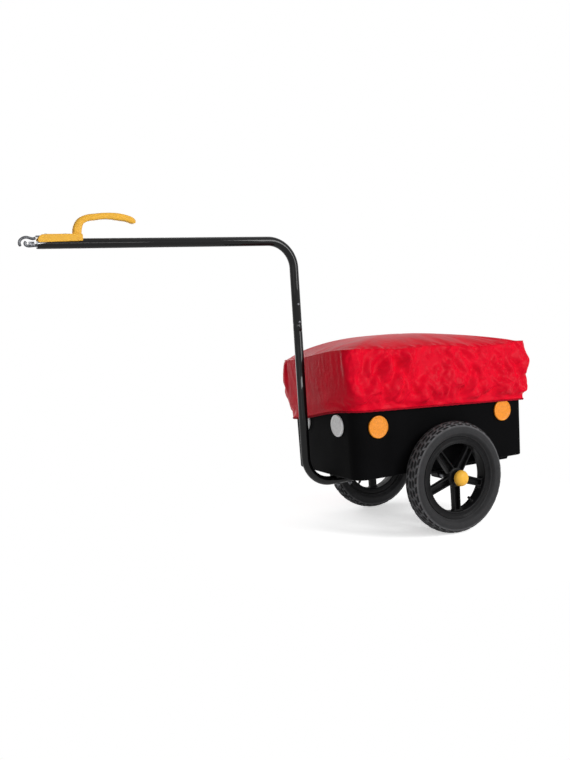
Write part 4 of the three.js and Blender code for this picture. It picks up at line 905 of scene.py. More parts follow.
def soften(piece, width):
    """Breaks a piece's sharp edges with a small bevel."""
    bevel = piece.modifiers.new("soft_edges", "BEVEL")
    bevel.width = width * MM
    bevel.segments = BEVEL_SEGMENTS
    bevel.limit_method = "ANGLE"
    bevel.angle_limit = math.radians(CREASE)
    bevel.harden_normals = True


def flat_slab(outlines, low, high, bevel):
    """A mesh in millimetres: outlines, the later ones holes in the first, from low to high in Z."""
    curve = bpy.data.curves.new("slab", "CURVE")
    curve.dimensions = "2D"
    curve.fill_mode = "BOTH"
    curve.extrude = (high - low) / 2 - bevel
    curve.bevel_depth = bevel
    curve.bevel_resolution = SLAB_ROUND_STEPS
    curve.offset = -bevel
    for outline in outlines:
        spline = curve.splines.new("POLY")
        spline.points.add(len(outline) - 1)
        for point, (x, y) in zip(spline.points, outline):
            point.co = (x, y, 0, 1)
        spline.use_cyclic_u = True
    holder = bpy.data.objects.new("slab", curve)
    bpy.context.scene.collection.objects.link(holder)
    mesh = bpy.data.meshes.new_from_object(
        holder.evaluated_get(bpy.context.evaluated_depsgraph_get())
    )
    bpy.data.objects.remove(holder)
    mesh.transform(Matrix.Translation((0, 0, (low + high) / 2)))
    return mesh


def rounded(corners, radius):
    """A polygon with its corners rounded by a quadratic curve."""
    outline = []
    for i, corner in enumerate(corners):
        before = Vector(corners[i - 1]) - Vector(corner)
        after = Vector(corners[(i + 1) % len(corners)]) - Vector(corner)
        start = Vector(corner) + before.normalized() * min(radius, before.length / 2)
        end = Vector(corner) + after.normalized() * min(radius, after.length / 2)
        for step in range(ROUND_STEPS + 1):
            share = step / ROUND_STEPS
            point = start.lerp(Vector(corner), share).lerp(Vector(corner).lerp(end, share), share)
            outline.append(tuple(point))
    return outline


def rounded_rectangle(rear, front, half_width, corners, steps):
    """[x, y, outward x, outward y] round a rectangle: its corners and steps at rear and front."""
    corner_steps, length_steps, width_steps = steps
    rear_corner, front_corner = corners
    length = front - rear - front_corner - rear_corner
    sides = (
        (front_corner, (front, -half_width), (0, 1), 2 * (half_width - front_corner), width_steps),
        (front_corner, (front, half_width), (-1, 0), length, length_steps),
        (rear_corner, (rear, half_width), (0, -1), 2 * (half_width - rear_corner), width_steps),
        (rear_corner, (rear, -half_width), (1, 0), length, length_steps),
    )
    outline = []
    for corner, (end_x, end_y), to, run, count in sides:
        centre = (end_x - math.copysign(corner, end_x), end_y - math.copysign(corner, end_y))
        facing = math.atan2(-to[0], to[1])
        for i in range(corner_steps):
            angle = facing - math.pi / 2 * (1 - i / corner_steps)
            out = (math.cos(angle), math.sin(angle))
            outline.append((centre[0] + corner * out[0], centre[1] + corner * out[1], *out))
        out = (math.cos(facing), math.sin(facing))
        for i in range(count):
            moved = run * i / count
            outline.append((
                centre[0] + corner * out[0] + moved * to[0],
                centre[1] + corner * out[1] + moved * to[1], *out,
            ))
    return outline


# Tub

def tub_ring(inset, height):
    """The tub's outline at a height, drawn in from its outer face."""
    out = TUB_DRAFT * (height - TUB_UNDERSIDE) / (TUB_RIM - TUB_UNDERSIDE) - inset
    corners = [corner - inset for corner in TUB_CORNERS]
    outline = rounded_rectangle(
        -TUB_REAR - out, TUB_FRONT + out, TUB_HALF_WIDTH + out, corners, TUB_STEPS,
    )
    return [(x, y, height) for x, y, _, _ in outline]


def bottom_rings(wall, floor):
    """The rounding between the floor and a wall, from the floor up."""
    rings = []
    for step in range(TUB_ROUND_STEPS + 1):
        angle = math.pi / 2 * step / TUB_ROUND_STEPS
        inset = TUB_BOTTOM_ROUND * (1 - math.sin(angle))
        rise = TUB_BOTTOM_ROUND * (1 - math.cos(angle))
        rings.append(tub_ring(wall + inset, floor + rise))
    return rings


def rail_mesh():
    """One moulded rail under the floor, in the XZ plane before it is turned upright."""
    top = TUB_UNDERSIDE + TUB_WALL / 2
    underside = TUB_UNDERSIDE - RAIL_DEPTH
    outline = [
        (RAIL_REAR, top), (RAIL_REAR + RAIL_SLOPE, underside),
        (RAIL_FRONT - RAIL_SLOPE, underside), (RAIL_FRONT, top),
    ]
    return flat_slab([outline], -RAIL_WIDTH / 2, RAIL_WIDTH / 2, RAIL_BEVEL)


def side_turn(offset=0):
    """Stands a slab drawn in X and Z upright, its middle at a distance along Y."""
    return Matrix(((1, 0, 0, 0), (0, 0, -1, offset), (0, 1, 0, 0), (0, 0, 0, 1)))


def tub_form():
    form = Form()
    lip = [tub_ring(inset, height) for inset, height in LIP_SECTION]
    inside = reversed(bottom_rings(TUB_WALL, TUB_FLOOR))
    form.skin([*bottom_rings(0, TUB_UNDERSIDE), *lip, *inside])
    for direction in SIDES.values():
        form.take(rail_mesh(), side_turn(direction * (TUB_HALF_WIDTH - RAIL_INSET)))
    seat = rectangle(
        SEAT_FRONT - SEAT_LENGTH, SEAT_FRONT, -SEAT_HALF_WIDTH, SEAT_HALF_WIDTH,
    )
    slabs = [flat_slab(
        [rounded(seat, SEAT_ROUND)], TUB_UNDERSIDE - SEAT_DEPTH, TUB_UNDERSIDE + TUB_WALL / 2,
        SEAT_BEVEL,
    )]
    for place in FLOOR_RIB_PLACES:
        rib = rectangle(
            RAIL_REAR, RAIL_FRONT, place - FLOOR_RIB_HALF_WIDTH, place + FLOOR_RIB_HALF_WIDTH,
        )
        slabs.append(flat_slab(
            [rounded(rib, FLOOR_RIB_ROUND)], TUB_FLOOR - FLOOR_RIB_SINK,
            TUB_FLOOR + FLOOR_RIB_HEIGHT, FLOOR_RIB_BEVEL,
        ))
    for slab in slabs:
        form.take(slab, Matrix.Identity(4))
    return form


# Wheels

def tyre_section(angle):
    """[radius, half width] of the tread's outer face at an angle from the crown."""
    side = math.sin(angle)
    width = TYRE_HALF_WIDTH * math.copysign(abs(side) ** TYRE_SQUARENESS, side)
    return TYRE_WIDEST + (TYRE_RADIUS - TYRE_WIDEST) * math.cos(angle) ** TYRE_SQUARENESS, width


def pulse(spot, length, edge):
    """1 inside a repeating lug and 0 in the gap after it, with sloping ends."""
    spot = spot % 1
    return min(1.0, max(0.0, min(spot, length - spot) / edge))


def lug_height(turn, share):
    """How much of the tread's depth stands: turn in pitches, share from crown to edge."""
    reach = abs(share)
    shift = LUG_SIDE_SHIFT if share > 0 else 0
    height = 0.0
    for start, end, move, slant, length in LUG_ROWS:
        if start <= reach <= end:
            across = min(1.0, (reach - start) / LUG_ROW_EDGE, (end - reach) / LUG_ROW_EDGE)
            along = pulse(turn + shift + move + slant * reach, length, LUG_EDGE)
            height = max(height, min(across, along))
    return height


def tyre_ring(turn, pitch):
    """One section of the tyre with the tread raised or sunk, and the dust on its points."""
    angle = turn * pitch
    points = []
    dust = []
    edge = math.radians(TREAD_EDGE)
    for step in range(TREAD_STEPS + 1):
        share = 2 * step / TREAD_STEPS - 1
        off_crown = share * edge
        radius, width = tyre_section(off_crown)
        depth = 1 - lug_height(turn, share)
        dust.append(depth)
        sunk = 0 if step in (0, TREAD_STEPS) else TREAD_DEPTH * depth
        points.append((radius - sunk * math.cos(off_crown), width - sunk * math.sin(off_crown)))
    shoulder = [tyre_section(math.radians(a)) for a in SHOULDER_ANGLES]
    side = [*shoulder, *TYRE_SIDE, *TYRE_LINING]
    far = [(radius, -width) for radius, width in side[:-1]]
    outline = [*points, *side, *reversed(far)]
    dust += [WALL_DUST_SHARE] * (len(outline) - len(dust))
    cos, sin = math.cos(angle), math.sin(angle)
    return [(radius * cos, width, radius * sin) for radius, width in outline], dust


def tyre_mesh(pitches):
    """The tyre, with a layer that says how much dust lies on each point."""
    form = Form()
    pitch = 2 * math.pi / pitches
    rings = []
    dust = []
    for step in range(pitches * PITCH_STEPS):
        ring, ring_dust = tyre_ring(step / PITCH_STEPS, pitch)
        rings.append(ring)
        dust += ring_dust
    form.skin(rings, endless=True)
    mesh = form.mesh("tyre", TREAD_CREASE)
    mesh.attributes.new(DUST_LAYER, "FLOAT", "POINT").data.foreach_set("value", dust)
    return mesh


def spoke_half_width(radius):
    """Half the width of a spoke, which tapers from the hub to the rim."""
    share = (radius - HUB_RADIUS) / (RIM_INNER_RADIUS - HUB_RADIUS)
    return (SPOKE_HUB_WIDTH + share * (SPOKE_RIM_WIDTH - SPOKE_HUB_WIDTH)) / 2


def window_outline():
    """The opening between two spokes, its middle along +X and its sides along the spokes."""
    half_pitch = math.pi / SPOKE_COUNT

    def edge_at(radius, side):
        width = spoke_half_width(radius)
        reach = math.sqrt(radius ** 2 - width ** 2)
        x = reach * math.cos(half_pitch) + width * math.sin(half_pitch)
        y = -reach * math.sin(half_pitch) + width * math.cos(half_pitch)
        return Vector((x, side * y))

    tip = spoke_half_width(HUB_RADIUS) / math.sin(half_pitch)
    corner = edge_at(RIM_INNER_RADIUS, 1)
    end = abs(math.atan2(corner.y, corner.x)) - WINDOW_RIM_ROUND / RIM_INNER_RADIUS
    low = edge_at(tip + WINDOW_HUB_ROUND, 1)
    high = edge_at(tip + WINDOW_HUB_ROUND, -1)
    apex = Vector((tip, 0))
    half = []
    far = edge_at(RIM_INNER_RADIUS - WINDOW_RIM_ROUND, 1)
    arc_start = Vector((math.cos(end), -math.sin(end))) * RIM_INNER_RADIUS
    for step in range(WINDOW_CORNER_STEPS):
        share = step / WINDOW_CORNER_STEPS
        half.append(far.lerp(corner, share).lerp(corner.lerp(arc_start, share), share))
    arc = [
        Vector((math.cos(a), math.sin(a))) * RIM_INNER_RADIUS
        for a in np.linspace(-end, end, WINDOW_ARC_STEPS)
    ]
    mirrored = [Vector((point.x, -point.y)) for point in reversed(half)]
    hub_turn = [
        high.lerp(apex, s).lerp(apex.lerp(low, s), s)
        for s in np.linspace(0, 1, WINDOW_CORNER_STEPS + 1)[:-1]
    ]
    outline = [low, *half, *arc, *mirrored, *hub_turn]
    return [tuple(point) for point in outline]


def pocket_outline(grow=0.0):
    """The sunk middle of a spoke along +X."""
    near = spoke_half_width(POCKET_HUB_RADIUS) - SPOKE_RIDGE + grow
    far = spoke_half_width(POCKET_RIM_RADIUS) - SPOKE_RIDGE + grow
    return rounded([
        (POCKET_HUB_RADIUS - grow, -near), (POCKET_RIM_RADIUS + grow, -far),
        (POCKET_RIM_RADIUS + grow, far), (POCKET_HUB_RADIUS - grow, near),
    ], POCKET_ROUND)


def turned_outline(outline, angle):
    cos, sin = math.cos(angle), math.sin(angle)
    return [(x * cos - y * sin, x * sin + y * cos) for x, y in outline]


def round_the_hub(outline, first):
    """An outline turned to each spoke, or by a share of their pitch past it."""
    pitch = 2 * math.pi / SPOKE_COUNT
    down = -math.pi / 2
    return [turned_outline(outline, down + (i + first) * pitch) for i in range(SPOKE_COUNT)]


def rim_form():
    form = Form()
    form.turned([*RIM_SIDE, *[(r, -w) for r, w in reversed(RIM_SIDE)]], RIM_STEPS, endless=True)
    form.turned([*HUB_SIDE, *HUB_INNER_SIDE], HUB_SIDES, endless=True)
    plate = circle(RIM_INNER_RADIUS + PLATE_INTO_RIM, RIM_STEPS)
    bore = circle(HUB_RADIUS - PLATE_INTO_HUB, PLATE_BORE_SIDES)
    windows = round_the_hub(window_outline(), 0.5)
    pockets = round_the_hub(pocket_outline(), 0)
    # The wheel's plane is drawn in X and Z, and a slab's low side ends up towards +Y.
    ridges = flat_slab(
        [plate, bore, *windows, *pockets], -SPOKE_OUTER_FACE, -SPOKE_INNER_FACE, SPOKE_BEVEL,
    )
    form.take(ridges, side_turn())
    for floor in round_the_hub(pocket_outline(SPOKE_WEB_OVERLAP), 0):
        web = flat_slab(
            [floor], -SPOKE_INNER_FACE - SPOKE_WEB, -SPOKE_INNER_FACE - SPOKE_WEB_SINK,
            SPOKE_WEB_BEVEL,
        )
        form.take(web, side_turn())
    form.skin(valve_boss_rings())
    return form


def valve_boss_rings():
    """The round bump on the rim's inner edge that the valve stands in."""
    angle = math.radians(VALVE_ANGLE)
    inward = Vector((-math.cos(angle), 0, -math.sin(angle)))
    side = Vector((-inward.z, 0, inward.x))
    rings = []
    for radius, rise in VALVE_BOSS_SHARES:
        centre = -inward * RIM_INNER_RADIUS + inward * rise * VALVE_BOSS_HEIGHT
        outline = circle(radius * VALVE_BOSS_RADIUS, VALVE_BOSS_SIDES)
        rings.append([tuple(centre + side * x + Vector((0, y, 0))) for x, y in outline])
    return rings


def cap_form():
    profile = [(share * CAP_RADIUS, CAP_FOOT + rise) for share, rise in CAP_OUTSIDE + CAP_INSIDE]
    return turned_form(profile, HUB_SIDES, endless=True)


def bush_form(direction):
    """A flanged bush in one end of the hub, its flange towards that direction."""
    foot, face, end = (direction * place for place in (BUSH_FOOT, BUSH_FACE, BUSH_END))
    return turned_form([
        (BUSH_BORE, face), (BUSH_FLANGE - 0.4, face), (BUSH_FLANGE, face - direction * 0.4),
        (BUSH_FLANGE, foot), (BUSH_SLEEVE, foot), (BUSH_SLEEVE, end + direction * 0.6),
        (BUSH_SLEEVE - 0.5, end), (BUSH_BORE, end),
    ], BUSH_SIDES, endless=True)


# Axle and its nuts and spacers

def nut_form():
    """A flanged nut with chamfered corners, its foot at zero along Y."""
    form = Form()
    rings = []
    for radius, height, hexagonal in NUT_SIDE:
        outline = hexagon(radius, NUT_SIDES) if hexagonal else circle(radius, NUT_SIDES)
        rings.append([(x, height, z) for x, z in outline])
    form.skin(rings, endless=True)
    return form


def axle_form():
    end = reach_of("axle").y
    face = AXLE_RADIUS - AXLE_CHAMFER
    return turned_form([
        (POINT_RADIUS, -end), (face, -end), (AXLE_RADIUS, -end + AXLE_CHAMFER),
        (AXLE_RADIUS, end - AXLE_CHAMFER), (face, end), (POINT_RADIUS, end),
    ], AXLE_SIDES)


def spacer_form(node):
    """A chamfered sleeve as long as its CAD node."""
    near, far = sorted(abs(corner.y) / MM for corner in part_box(node))
    face = SPACER_RADIUS - SPACER_CHAMFER
    return turned_form([
        (SPACER_BORE, near), (face, near), (SPACER_RADIUS, near + SPACER_CHAMFER),
        (SPACER_RADIUS, far - SPACER_CHAMFER), (face, far), (SPACER_BORE, far),
    ], AXLE_SIDES, endless=True)


# Drawbar

def quarter_bend(centre_x, centre_z, start, end):
    """[x, z] of the tube's middle line round a bend."""
    angles = np.linspace(start, end, BEND_STEPS + 1)
    return [
        (centre_x + TUBE_BEND * math.cos(a), centre_z + TUBE_BEND * math.sin(a)) for a in angles
    ]


def tube_rings(line):
    """Rings of round sections, each place given as [x, z, radius]."""
    rings = []
    for i, (x, z, radius) in enumerate(line):
        before, after = line[max(i - 1, 0)], line[min(i + 1, len(line) - 1)]
        ahead = Vector((after[0] - before[0], after[1] - before[1]))
        if i > 0 and (x, z) == before[:2]:
            ahead = Vector((after[0] - x, after[1] - z))
        if ahead.length < LEAST_STEP or (x, z) == after[:2]:
            ahead = Vector((x - before[0], z - before[1]))
        if ahead.length < LEAST_STEP:
            far = line[max(i - 2, 0)]
            ahead = Vector((x - far[0], z - far[1]))
        ahead.normalize()
        rings.append([
            (x - u * ahead.y, v, z + u * ahead.x) for u, v in circle(radius, TUBE_SIDES)
        ])
    return rings


def pipe_form(outside, inside):
    """A tube between two skins whose ends meet."""
    form = Form()
    form.skin([*tube_rings(outside), *reversed(tube_rings(inside))], endless=True)
    return form


def lower_drawbar_form():
    bend = quarter_bend(UPRIGHT_X - TUBE_BEND, AXLE_HEIGHT + TUBE_BEND, -math.pi / 2, 0)
    bore = TUBE_RADIUS - TUBE_WALL
    neck = bore - NECK_GAP
    height, depth = SEAM_MIDDLE
    outside = [
        (TUBE_REAR, AXLE_HEIGHT, TUBE_RADIUS - TUBE_END_CHAMFER),
        (TUBE_REAR + TUBE_END_CHAMFER, AXLE_HEIGHT, TUBE_RADIUS),
    ]
    outside += [(x, z, TUBE_RADIUS) for x, z in bend]
    outside += [
        (UPRIGHT_X, SEAM_HEIGHT - SEAM_ROUND, TUBE_RADIUS),
        (UPRIGHT_X, SEAM_HEIGHT - height, TUBE_RADIUS - depth),
        (UPRIGHT_X, SEAM_HEIGHT, TUBE_RADIUS - SEAM_ROUND),
        (UPRIGHT_X, SEAM_HEIGHT + SEAM_LEDGE, neck),
        (UPRIGHT_X, SEAM_HEIGHT + NECK_LENGTH - NECK_END_LENGTH, neck),
        (UPRIGHT_X, SEAM_HEIGHT + NECK_LENGTH, neck - NECK_END_DEPTH),
    ]
    inside = [(TUBE_REAR, AXLE_HEIGHT, bore)] + [(x, z, bore) for x, z in bend]
    inside += [
        (UPRIGHT_X, SEAM_HEIGHT - NECK_TAPER, bore), (UPRIGHT_X, SEAM_HEIGHT, neck - TUBE_WALL),
        (UPRIGHT_X, SEAM_HEIGHT + NECK_LENGTH, neck - TUBE_WALL),
    ]
    return pipe_form(outside, inside)


def upper_drawbar_form():
    bend = quarter_bend(UPRIGHT_X + TUBE_BEND, TUBE_TOP - TUBE_BEND, math.pi, math.pi / 2)
    bore = TUBE_RADIUS - TUBE_WALL
    foot = SEAM_HEIGHT + SEAM_GAP
    height, depth = SEAM_MIDDLE
    swage = foot + SWAGE_HEIGHT
    outside = [
        (UPRIGHT_X, foot, TUBE_RADIUS - SEAM_ROUND),
        (UPRIGHT_X, foot + height, TUBE_RADIUS - depth),
        (UPRIGHT_X, foot + SEAM_ROUND, TUBE_RADIUS), (UPRIGHT_X, swage, TUBE_RADIUS),
        (UPRIGHT_X, swage + SWAGE_SHOULDER, TUBE_RADIUS - SWAGE_DEPTH),
        (UPRIGHT_X, swage + SWAGE_LENGTH - SWAGE_SHOULDER, TUBE_RADIUS - SWAGE_DEPTH),
        (UPRIGHT_X, swage + SWAGE_LENGTH, TUBE_RADIUS),
    ]
    outside += [(x, z, TUBE_RADIUS) for x, z in bend] + [(TUBE_FRONT, TUBE_TOP, TUBE_RADIUS)]
    inside = [(UPRIGHT_X, foot, bore)] + [(x, z, bore) for x, z in bend]
    inside += [(TUBE_FRONT, TUBE_TOP, bore)]
    return pipe_form(outside, inside)


def with_edges(faces):
    """Faces with their edges and vertices, as a cut needs them."""
    return [*faces, *{e for f in faces for e in f.edges}, *{v for f in faces for v in f.verts}]


def cut_nose(mesh):
    """Cuts the upper tube's front end obliquely, leaving an open trough under the lever."""
    rear = Vector((TUBE_FRONT - NOSE_LENGTH, 0, TUBE_TOP + NOSE_REAR_HEIGHT)) * MM
    front = Vector((TUBE_FRONT, 0, TUBE_TOP + NOSE_FRONT_HEIGHT)) * MM
    slope = (front - rear).normalized()
    normal = Vector((-slope.z, 0, slope.x))
    work = bmesh.new()
    work.from_mesh(mesh)
    near = [f for f in work.faces if f.calc_center_median().x > (UPRIGHT_X + TUBE_BEND) * MM]
    bmesh.ops.bisect_plane(
        work, geom=with_edges(near), dist=WELD, plane_co=rear, plane_no=Vector((1, 0, 0)),
    )
    ahead = [f for f in work.faces if f.calc_center_median().x > rear.x]
    bmesh.ops.bisect_plane(
        work, geom=with_edges(ahead), dist=WELD, plane_co=rear, plane_no=normal,
    )
    over = [
        f for f in work.faces
        if f.calc_center_median().x > rear.x and (f.calc_center_median() - rear).dot(normal) > 0
    ]
    bmesh.ops.delete(work, geom=over, context="FACES")
    rim = [e for e in work.edges if e.is_boundary]
    bmesh.ops.triangle_fill(work, edges=rim, use_beauty=True)
    bmesh.ops.recalc_face_normals(work, faces=work.faces)
    work.to_mesh(mesh)
    work.free()
    mesh.polygons.foreach_set("use_smooth", [True] * len(mesh.polygons))
    mesh.set_sharp_from_angle(angle=math.radians(CREASE))


# Coupling

def sweep_handle(form):
    """Adds the handle: a section between round and square along its bent middle line."""
    line = smooth_line([
        (LEVER_REAR - length * HANDLE_LENGTH, TUBE_TOP + height * HANDLE_HEIGHT, thickness)
        for length, height, thickness in HANDLE_SHARES
    ], HANDLE_STEPS)

    def section(share, place):
        past = max(0.0, (share - HANDLE_TIP_START) / HANDLE_TIP_LENGTH)
        end = math.sqrt(max(0.0, 1 - past ** 2))
        thickness = HANDLE_HALF_THICKNESS * place[2] * max(end, HANDLE_TIP_LEAST)
        points = []
        for i in range(HANDLE_SIDES):
            angle = 2 * math.pi * i / HANDLE_SIDES
            reach = math.sqrt(1 / max(abs(math.cos(angle)), abs(math.sin(angle))))
            points.append((
                thickness * reach * math.cos(angle), HANDLE_HALF_WIDTH * reach * math.sin(angle),
            ))
        return points

    form.swept(line, section)


def lever_side_outline():
    """The lever's side, drawn in X and Z, with a sloping nose."""
    top = TUBE_TOP + LEVER_TOP
    outline = [
        (LEVER_REAR, TUBE_TOP + LEVER_BOTTOM_REAR), (LEVER_FRONT, TUBE_TOP + LEVER_BOTTOM_FRONT),
        *[(x, top - depth) for x, depth in LEVER_TOP_LINE],
    ]
    return rounded(outline, LEVER_ROUND)


def lever_form():
    """Two cheeks, a roof, the bosses round the screws and the handle, to be fused."""
    form = Form()
    outline = lever_side_outline()
    for direction in SIDES.values():
        outer, inner = direction * LEVER_HALF_WIDTH, direction * (LEVER_HALF_WIDTH - LEVER_SIDE)
        cheek = flat_slab([outline], min(-outer, -inner), max(-outer, -inner), CHEEK_BEVEL)
        form.take(cheek, side_turn())
    roof = [point for point in outline if point[1] > TUBE_TOP + LEVER_ROOF]
    roof += [
        (LEVER_REAR + ROOF_INSET, TUBE_TOP + LEVER_ROOF_REAR),
        (LEVER_REAR + PIVOT_INSET, TUBE_TOP + LEVER_ROOF),
        (LEVER_FRONT - ROOF_INSET, TUBE_TOP + LEVER_ROOF),
    ]
    middle = Vector((LEVER_REAR + LEVER_FRONT, 2 * TUBE_TOP + 2 * LEVER_ROOF)) / 2
    roof.sort(key=lambda p: math.atan2(p[1] - middle.y - ROOF_CENTRE_RISE, p[0] - middle.x))
    form.take(flat_slab([roof], -LEVER_HALF_WIDTH, LEVER_HALF_WIDTH, LEVER_BEVEL), side_turn())
    sweep_handle(form)
    for place, (radius, rise) in LEVER_BOSSES.items():
        form.skin(boss_rings(LEVER_BOLTS[place], radius, rise))
    return form


def boss_rings(x, radius, rise):
    """A low round boss on the lever's top."""
    top = TUBE_TOP + LEVER_TOP
    return [
        [(x + a, b, height) for a, b in circle(reach, BOSS_SIDES)]
        for reach, height in (
            (radius, top - BOSS_SINK), (radius, top + rise - BOSS_EDGE_HEIGHT),
            (radius - BOSS_EDGE_WIDTH, top + rise),
        )
    ]


def fused(form, name, voxel, rounds):
    """One moulded skin over overlapping parts, its inner corners filled and edges rounded."""
    holder = bpy.data.objects.new(name, form.mesh(name))
    bpy.context.scene.collection.objects.link(holder)
    remesh = holder.modifiers.new("fuse", "REMESH")
    remesh.mode = "VOXEL"
    remesh.voxel_size = voxel * MM
    remesh.use_smooth_shade = True
    relax = holder.modifiers.new("relax", "SMOOTH")
    relax.factor = 0.5
    relax.iterations = rounds
    mesh = bpy.data.meshes.new_from_object(
        holder.evaluated_get(bpy.context.evaluated_depsgraph_get())
    )
    mesh.name = name
    bpy.data.objects.remove(holder)
    return mesh


def jaw_form(shares, low, high):
    """A bent bar with a rounded tip along a jaw's middle line, and the block that holds it."""
    form = Form()
    line = smooth_line(
        [(TUBE_FRONT + a * JAW_REACH, TUBE_TOP + b * JAW_HEIGHT) for a, b in shares], BAR_STEPS,
    )
    points = circle(BAR_RADIUS, BAR_SIDES)

    def section(share, place):
        left = (1 - share) * BAR_STEPS / BAR_END_STEPS
        size = math.sqrt(max(BAR_END_LEAST, 1 - (1 - min(1.0, left)) ** 2))
        return [(u * size, v * size) for u, v in points]

    form.swept(line, section)
    form.block(low, high)
    return form


def block_form():
    """The bright steel core in the tube's open end, flat on top."""
    form = Form()
    rings = []
    radius = TUBE_RADIUS - TUBE_WALL - BLOCK_GAP
    rear = TUBE_FRONT - BLOCK_LENGTH
    for x, size in (
        (rear, BLOCK_END_SHARE), (rear + BLOCK_CHAMFER, 1), (TUBE_FRONT - BLOCK_CHAMFER, 1),
        (TUBE_FRONT, BLOCK_END_SHARE),
    ):
        rings.append([
            (x, y, TUBE_TOP + min(z, BLOCK_TOP * size))
            for y, z in circle(radius * size, TUBE_SIDES)
        ])
    form.skin(rings)
    return form


def spring_form():
    form = Form()
    steps = SPRING_TURNS * SPRING_TURN_STEPS
    rings = []
    for step in range(steps + 1):
        share = step / steps
        angle = 2 * math.pi * SPRING_TURNS * share
        height = TUBE_TOP + SPRING_LOW + share * (SPRING_HIGH - SPRING_LOW)
        outward = Vector((math.cos(angle), math.sin(angle), 0))
        centre = Vector((SPRING_X, 0, height)) + outward * SPRING_RADIUS
        rings.append([
            tuple(centre + outward * u + Vector((0, 0, v)))
            for u, v in circle(SPRING_WIRE, SPRING_SIDES)
        ])
    form.skin(rings)
    return form


def screw_form(x):
    """A dome-headed screw with a hexagon socket, and its shank."""
    form = Form()
    top = TUBE_TOP + LEVER_TOP
    outlines = [(circle(radius, BOLT_SIDES), height) for radius, height in BOLT_OUTSIDE]
    outlines += [(hexagon(radius, BOLT_SIDES), height) for radius, height in BOLT_SOCKET]
    form.skin([[(x + a, b, top + height) for a, b in outline] for outline, height in outlines])
    return form


# Reflectors

def reflector_form():
    profile = [(share * REFLECTOR_RADIUS, height) for share, height in REFLECTOR_SIDE]
    return turned_form(profile, REFLECTOR_SIDES)


# Cover

def along(x):
    """How far along the cover a place is, from 0 at the rear to 1 in front."""
    return (x + TUB_REAR) / (TUB_FRONT + TUB_REAR)


def eased(share, table):
    """A value from a table of [share, value], eased between its rows."""
    share = min(1.0, max(0.0, share))
    for (low, value), (high, following) in zip(table, table[1:]):
        if share <= high:
            step = (share - low) / (high - low)
            return value + (following - value) * step * step * (3 - 2 * step)
    return table[-1][1]


def across(y, left, right):
    """A value between the right side's and the left side's, eased over the cover's width."""
    step = min(1.0, max(0.0, 0.5 + y / (2 * TUB_HALF_WIDTH)))
    return right + (left - right) * step * step * (3 - 2 * step)


def hem_height(x, y):
    """The height of the hem, which slopes differently on the two sides."""
    share = along(x)
    left = HEM_LEFT[0] + share * (HEM_LEFT[1] - HEM_LEFT[0])
    right = HEM_RIGHT[0] + share * (HEM_RIGHT[1] - HEM_RIGHT[0])
    return across(y, left, right)


def edge_height(x, y):
    """The height of the soft edge between the skirt and the top."""
    share = along(x)
    return TUB_RIM + across(y, eased(share, EDGE_LEFT), eased(share, EDGE_RIGHT))


def skirt_ring(share):
    """One level of the skirt between its hem and its edge."""
    heights, *bulges = zip(*SKIRT_BULGE)
    side, front, rear = (float(np.interp(share, heights, bulge)) for bulge in bulges)
    corner = float(np.interp(share, *zip(*FRONT_CORNER)))
    plan = rounded_rectangle(
        -TUB_REAR - COVER_OVER_LIP - rear, TUB_FRONT + COVER_OVER_LIP + front,
        TUB_HALF_WIDTH + COVER_OVER_LIP + side, (REAR_CORNER, corner), COVER_STEPS,
    )
    ring = []
    for x, y, _, _ in plan:
        hem = hem_height(x, y)
        ring.append(Vector((x, y, hem + share * (edge_height(x, y) - hem))))
    return ring, [Vector((out_x, out_y, 0)) for _, _, out_x, out_y in plan]


def dome_ring(edge_ring, share, crown):
    """One level of the top, drawn in towards its highest place."""
    top = TUB_RIM + crown
    ring = []
    for point in edge_ring:
        behind = max(0.0, -point.x / TUB_REAR)
        power = DOME_POWER - DOME_REAR_FALL * min(1.0, behind ** 2)
        height = point.z + (top - point.z) * (1 - share ** power)
        ring.append(Vector((
            DOME_AHEAD + share * (point.x - DOME_AHEAD), share * point.y, height,
        )))
    return ring


def slack_share(level, out):
    """How much a place of the cover may grow: most on the sides, less behind, none in front."""
    if level > COVER_LEVELS + 2:
        return 0.0
    taut = min(1.0, level / (HEM_TAUT * COVER_LEVELS))
    return taut * min(1.0, out.y ** 2 + REAR_SLACK_SHARE * max(0.0, -out.x))


def crease_seed(point, level, out):
    """A small uneven push that tells the cloth where to start creasing."""
    push = sum(
        height * noise.noise(point / size + Vector(CREASE_START)) for size, height in CREASE_SEEDS
    )
    return push * slack_share(level, out)


def crumple(point):
    """The height of ridged noise, about its mean, drawn out along two leaning directions."""
    height = 0.0
    run = point.x + point.y
    for width, depth in CRUMPLES:
        for lean in CRUMPLE_LEANS:
            over = (run + lean * point.z) / width
            down = (point.z - lean * run) / (width * CRUMPLE_STRETCH)
            spot = Vector((over, down, lean)) + Vector(CREASE_START)
            height += depth * (abs(noise.noise(spot)) - CRUMPLE_MEAN)
    return height


def crumple_share(level, out):
    """How much a place is crumpled: like its slack on the skirt, a little on top, not the edge."""
    clear = min(1.0, abs(level - COVER_LEVELS) / EDGE_CLEAR_LEVELS)
    if level <= COVER_LEVELS:
        return clear * slack_share(level, out)
    fade = 1 - (level - COVER_LEVELS) / DOME_CRUMPLE_LEVELS
    return clear * DOME_CRUMPLE_SHARE * max(0.0, fade)


def cover_rings(settings):
    """The cover's rings from its hem up the skirt and in over the top."""
    rings = []
    for level in range(COVER_LEVELS + 1):
        share = level / COVER_LEVELS
        ring, outward = skirt_ring(share)
        rings.append([p + out * crease_seed(p, level, out) for p, out in zip(ring, outward)])
    edge_ring = rings[-1]
    rings += [dome_ring(edge_ring, share, settings.crown / MM) for share in DOME_SHARES]
    return rings, outward


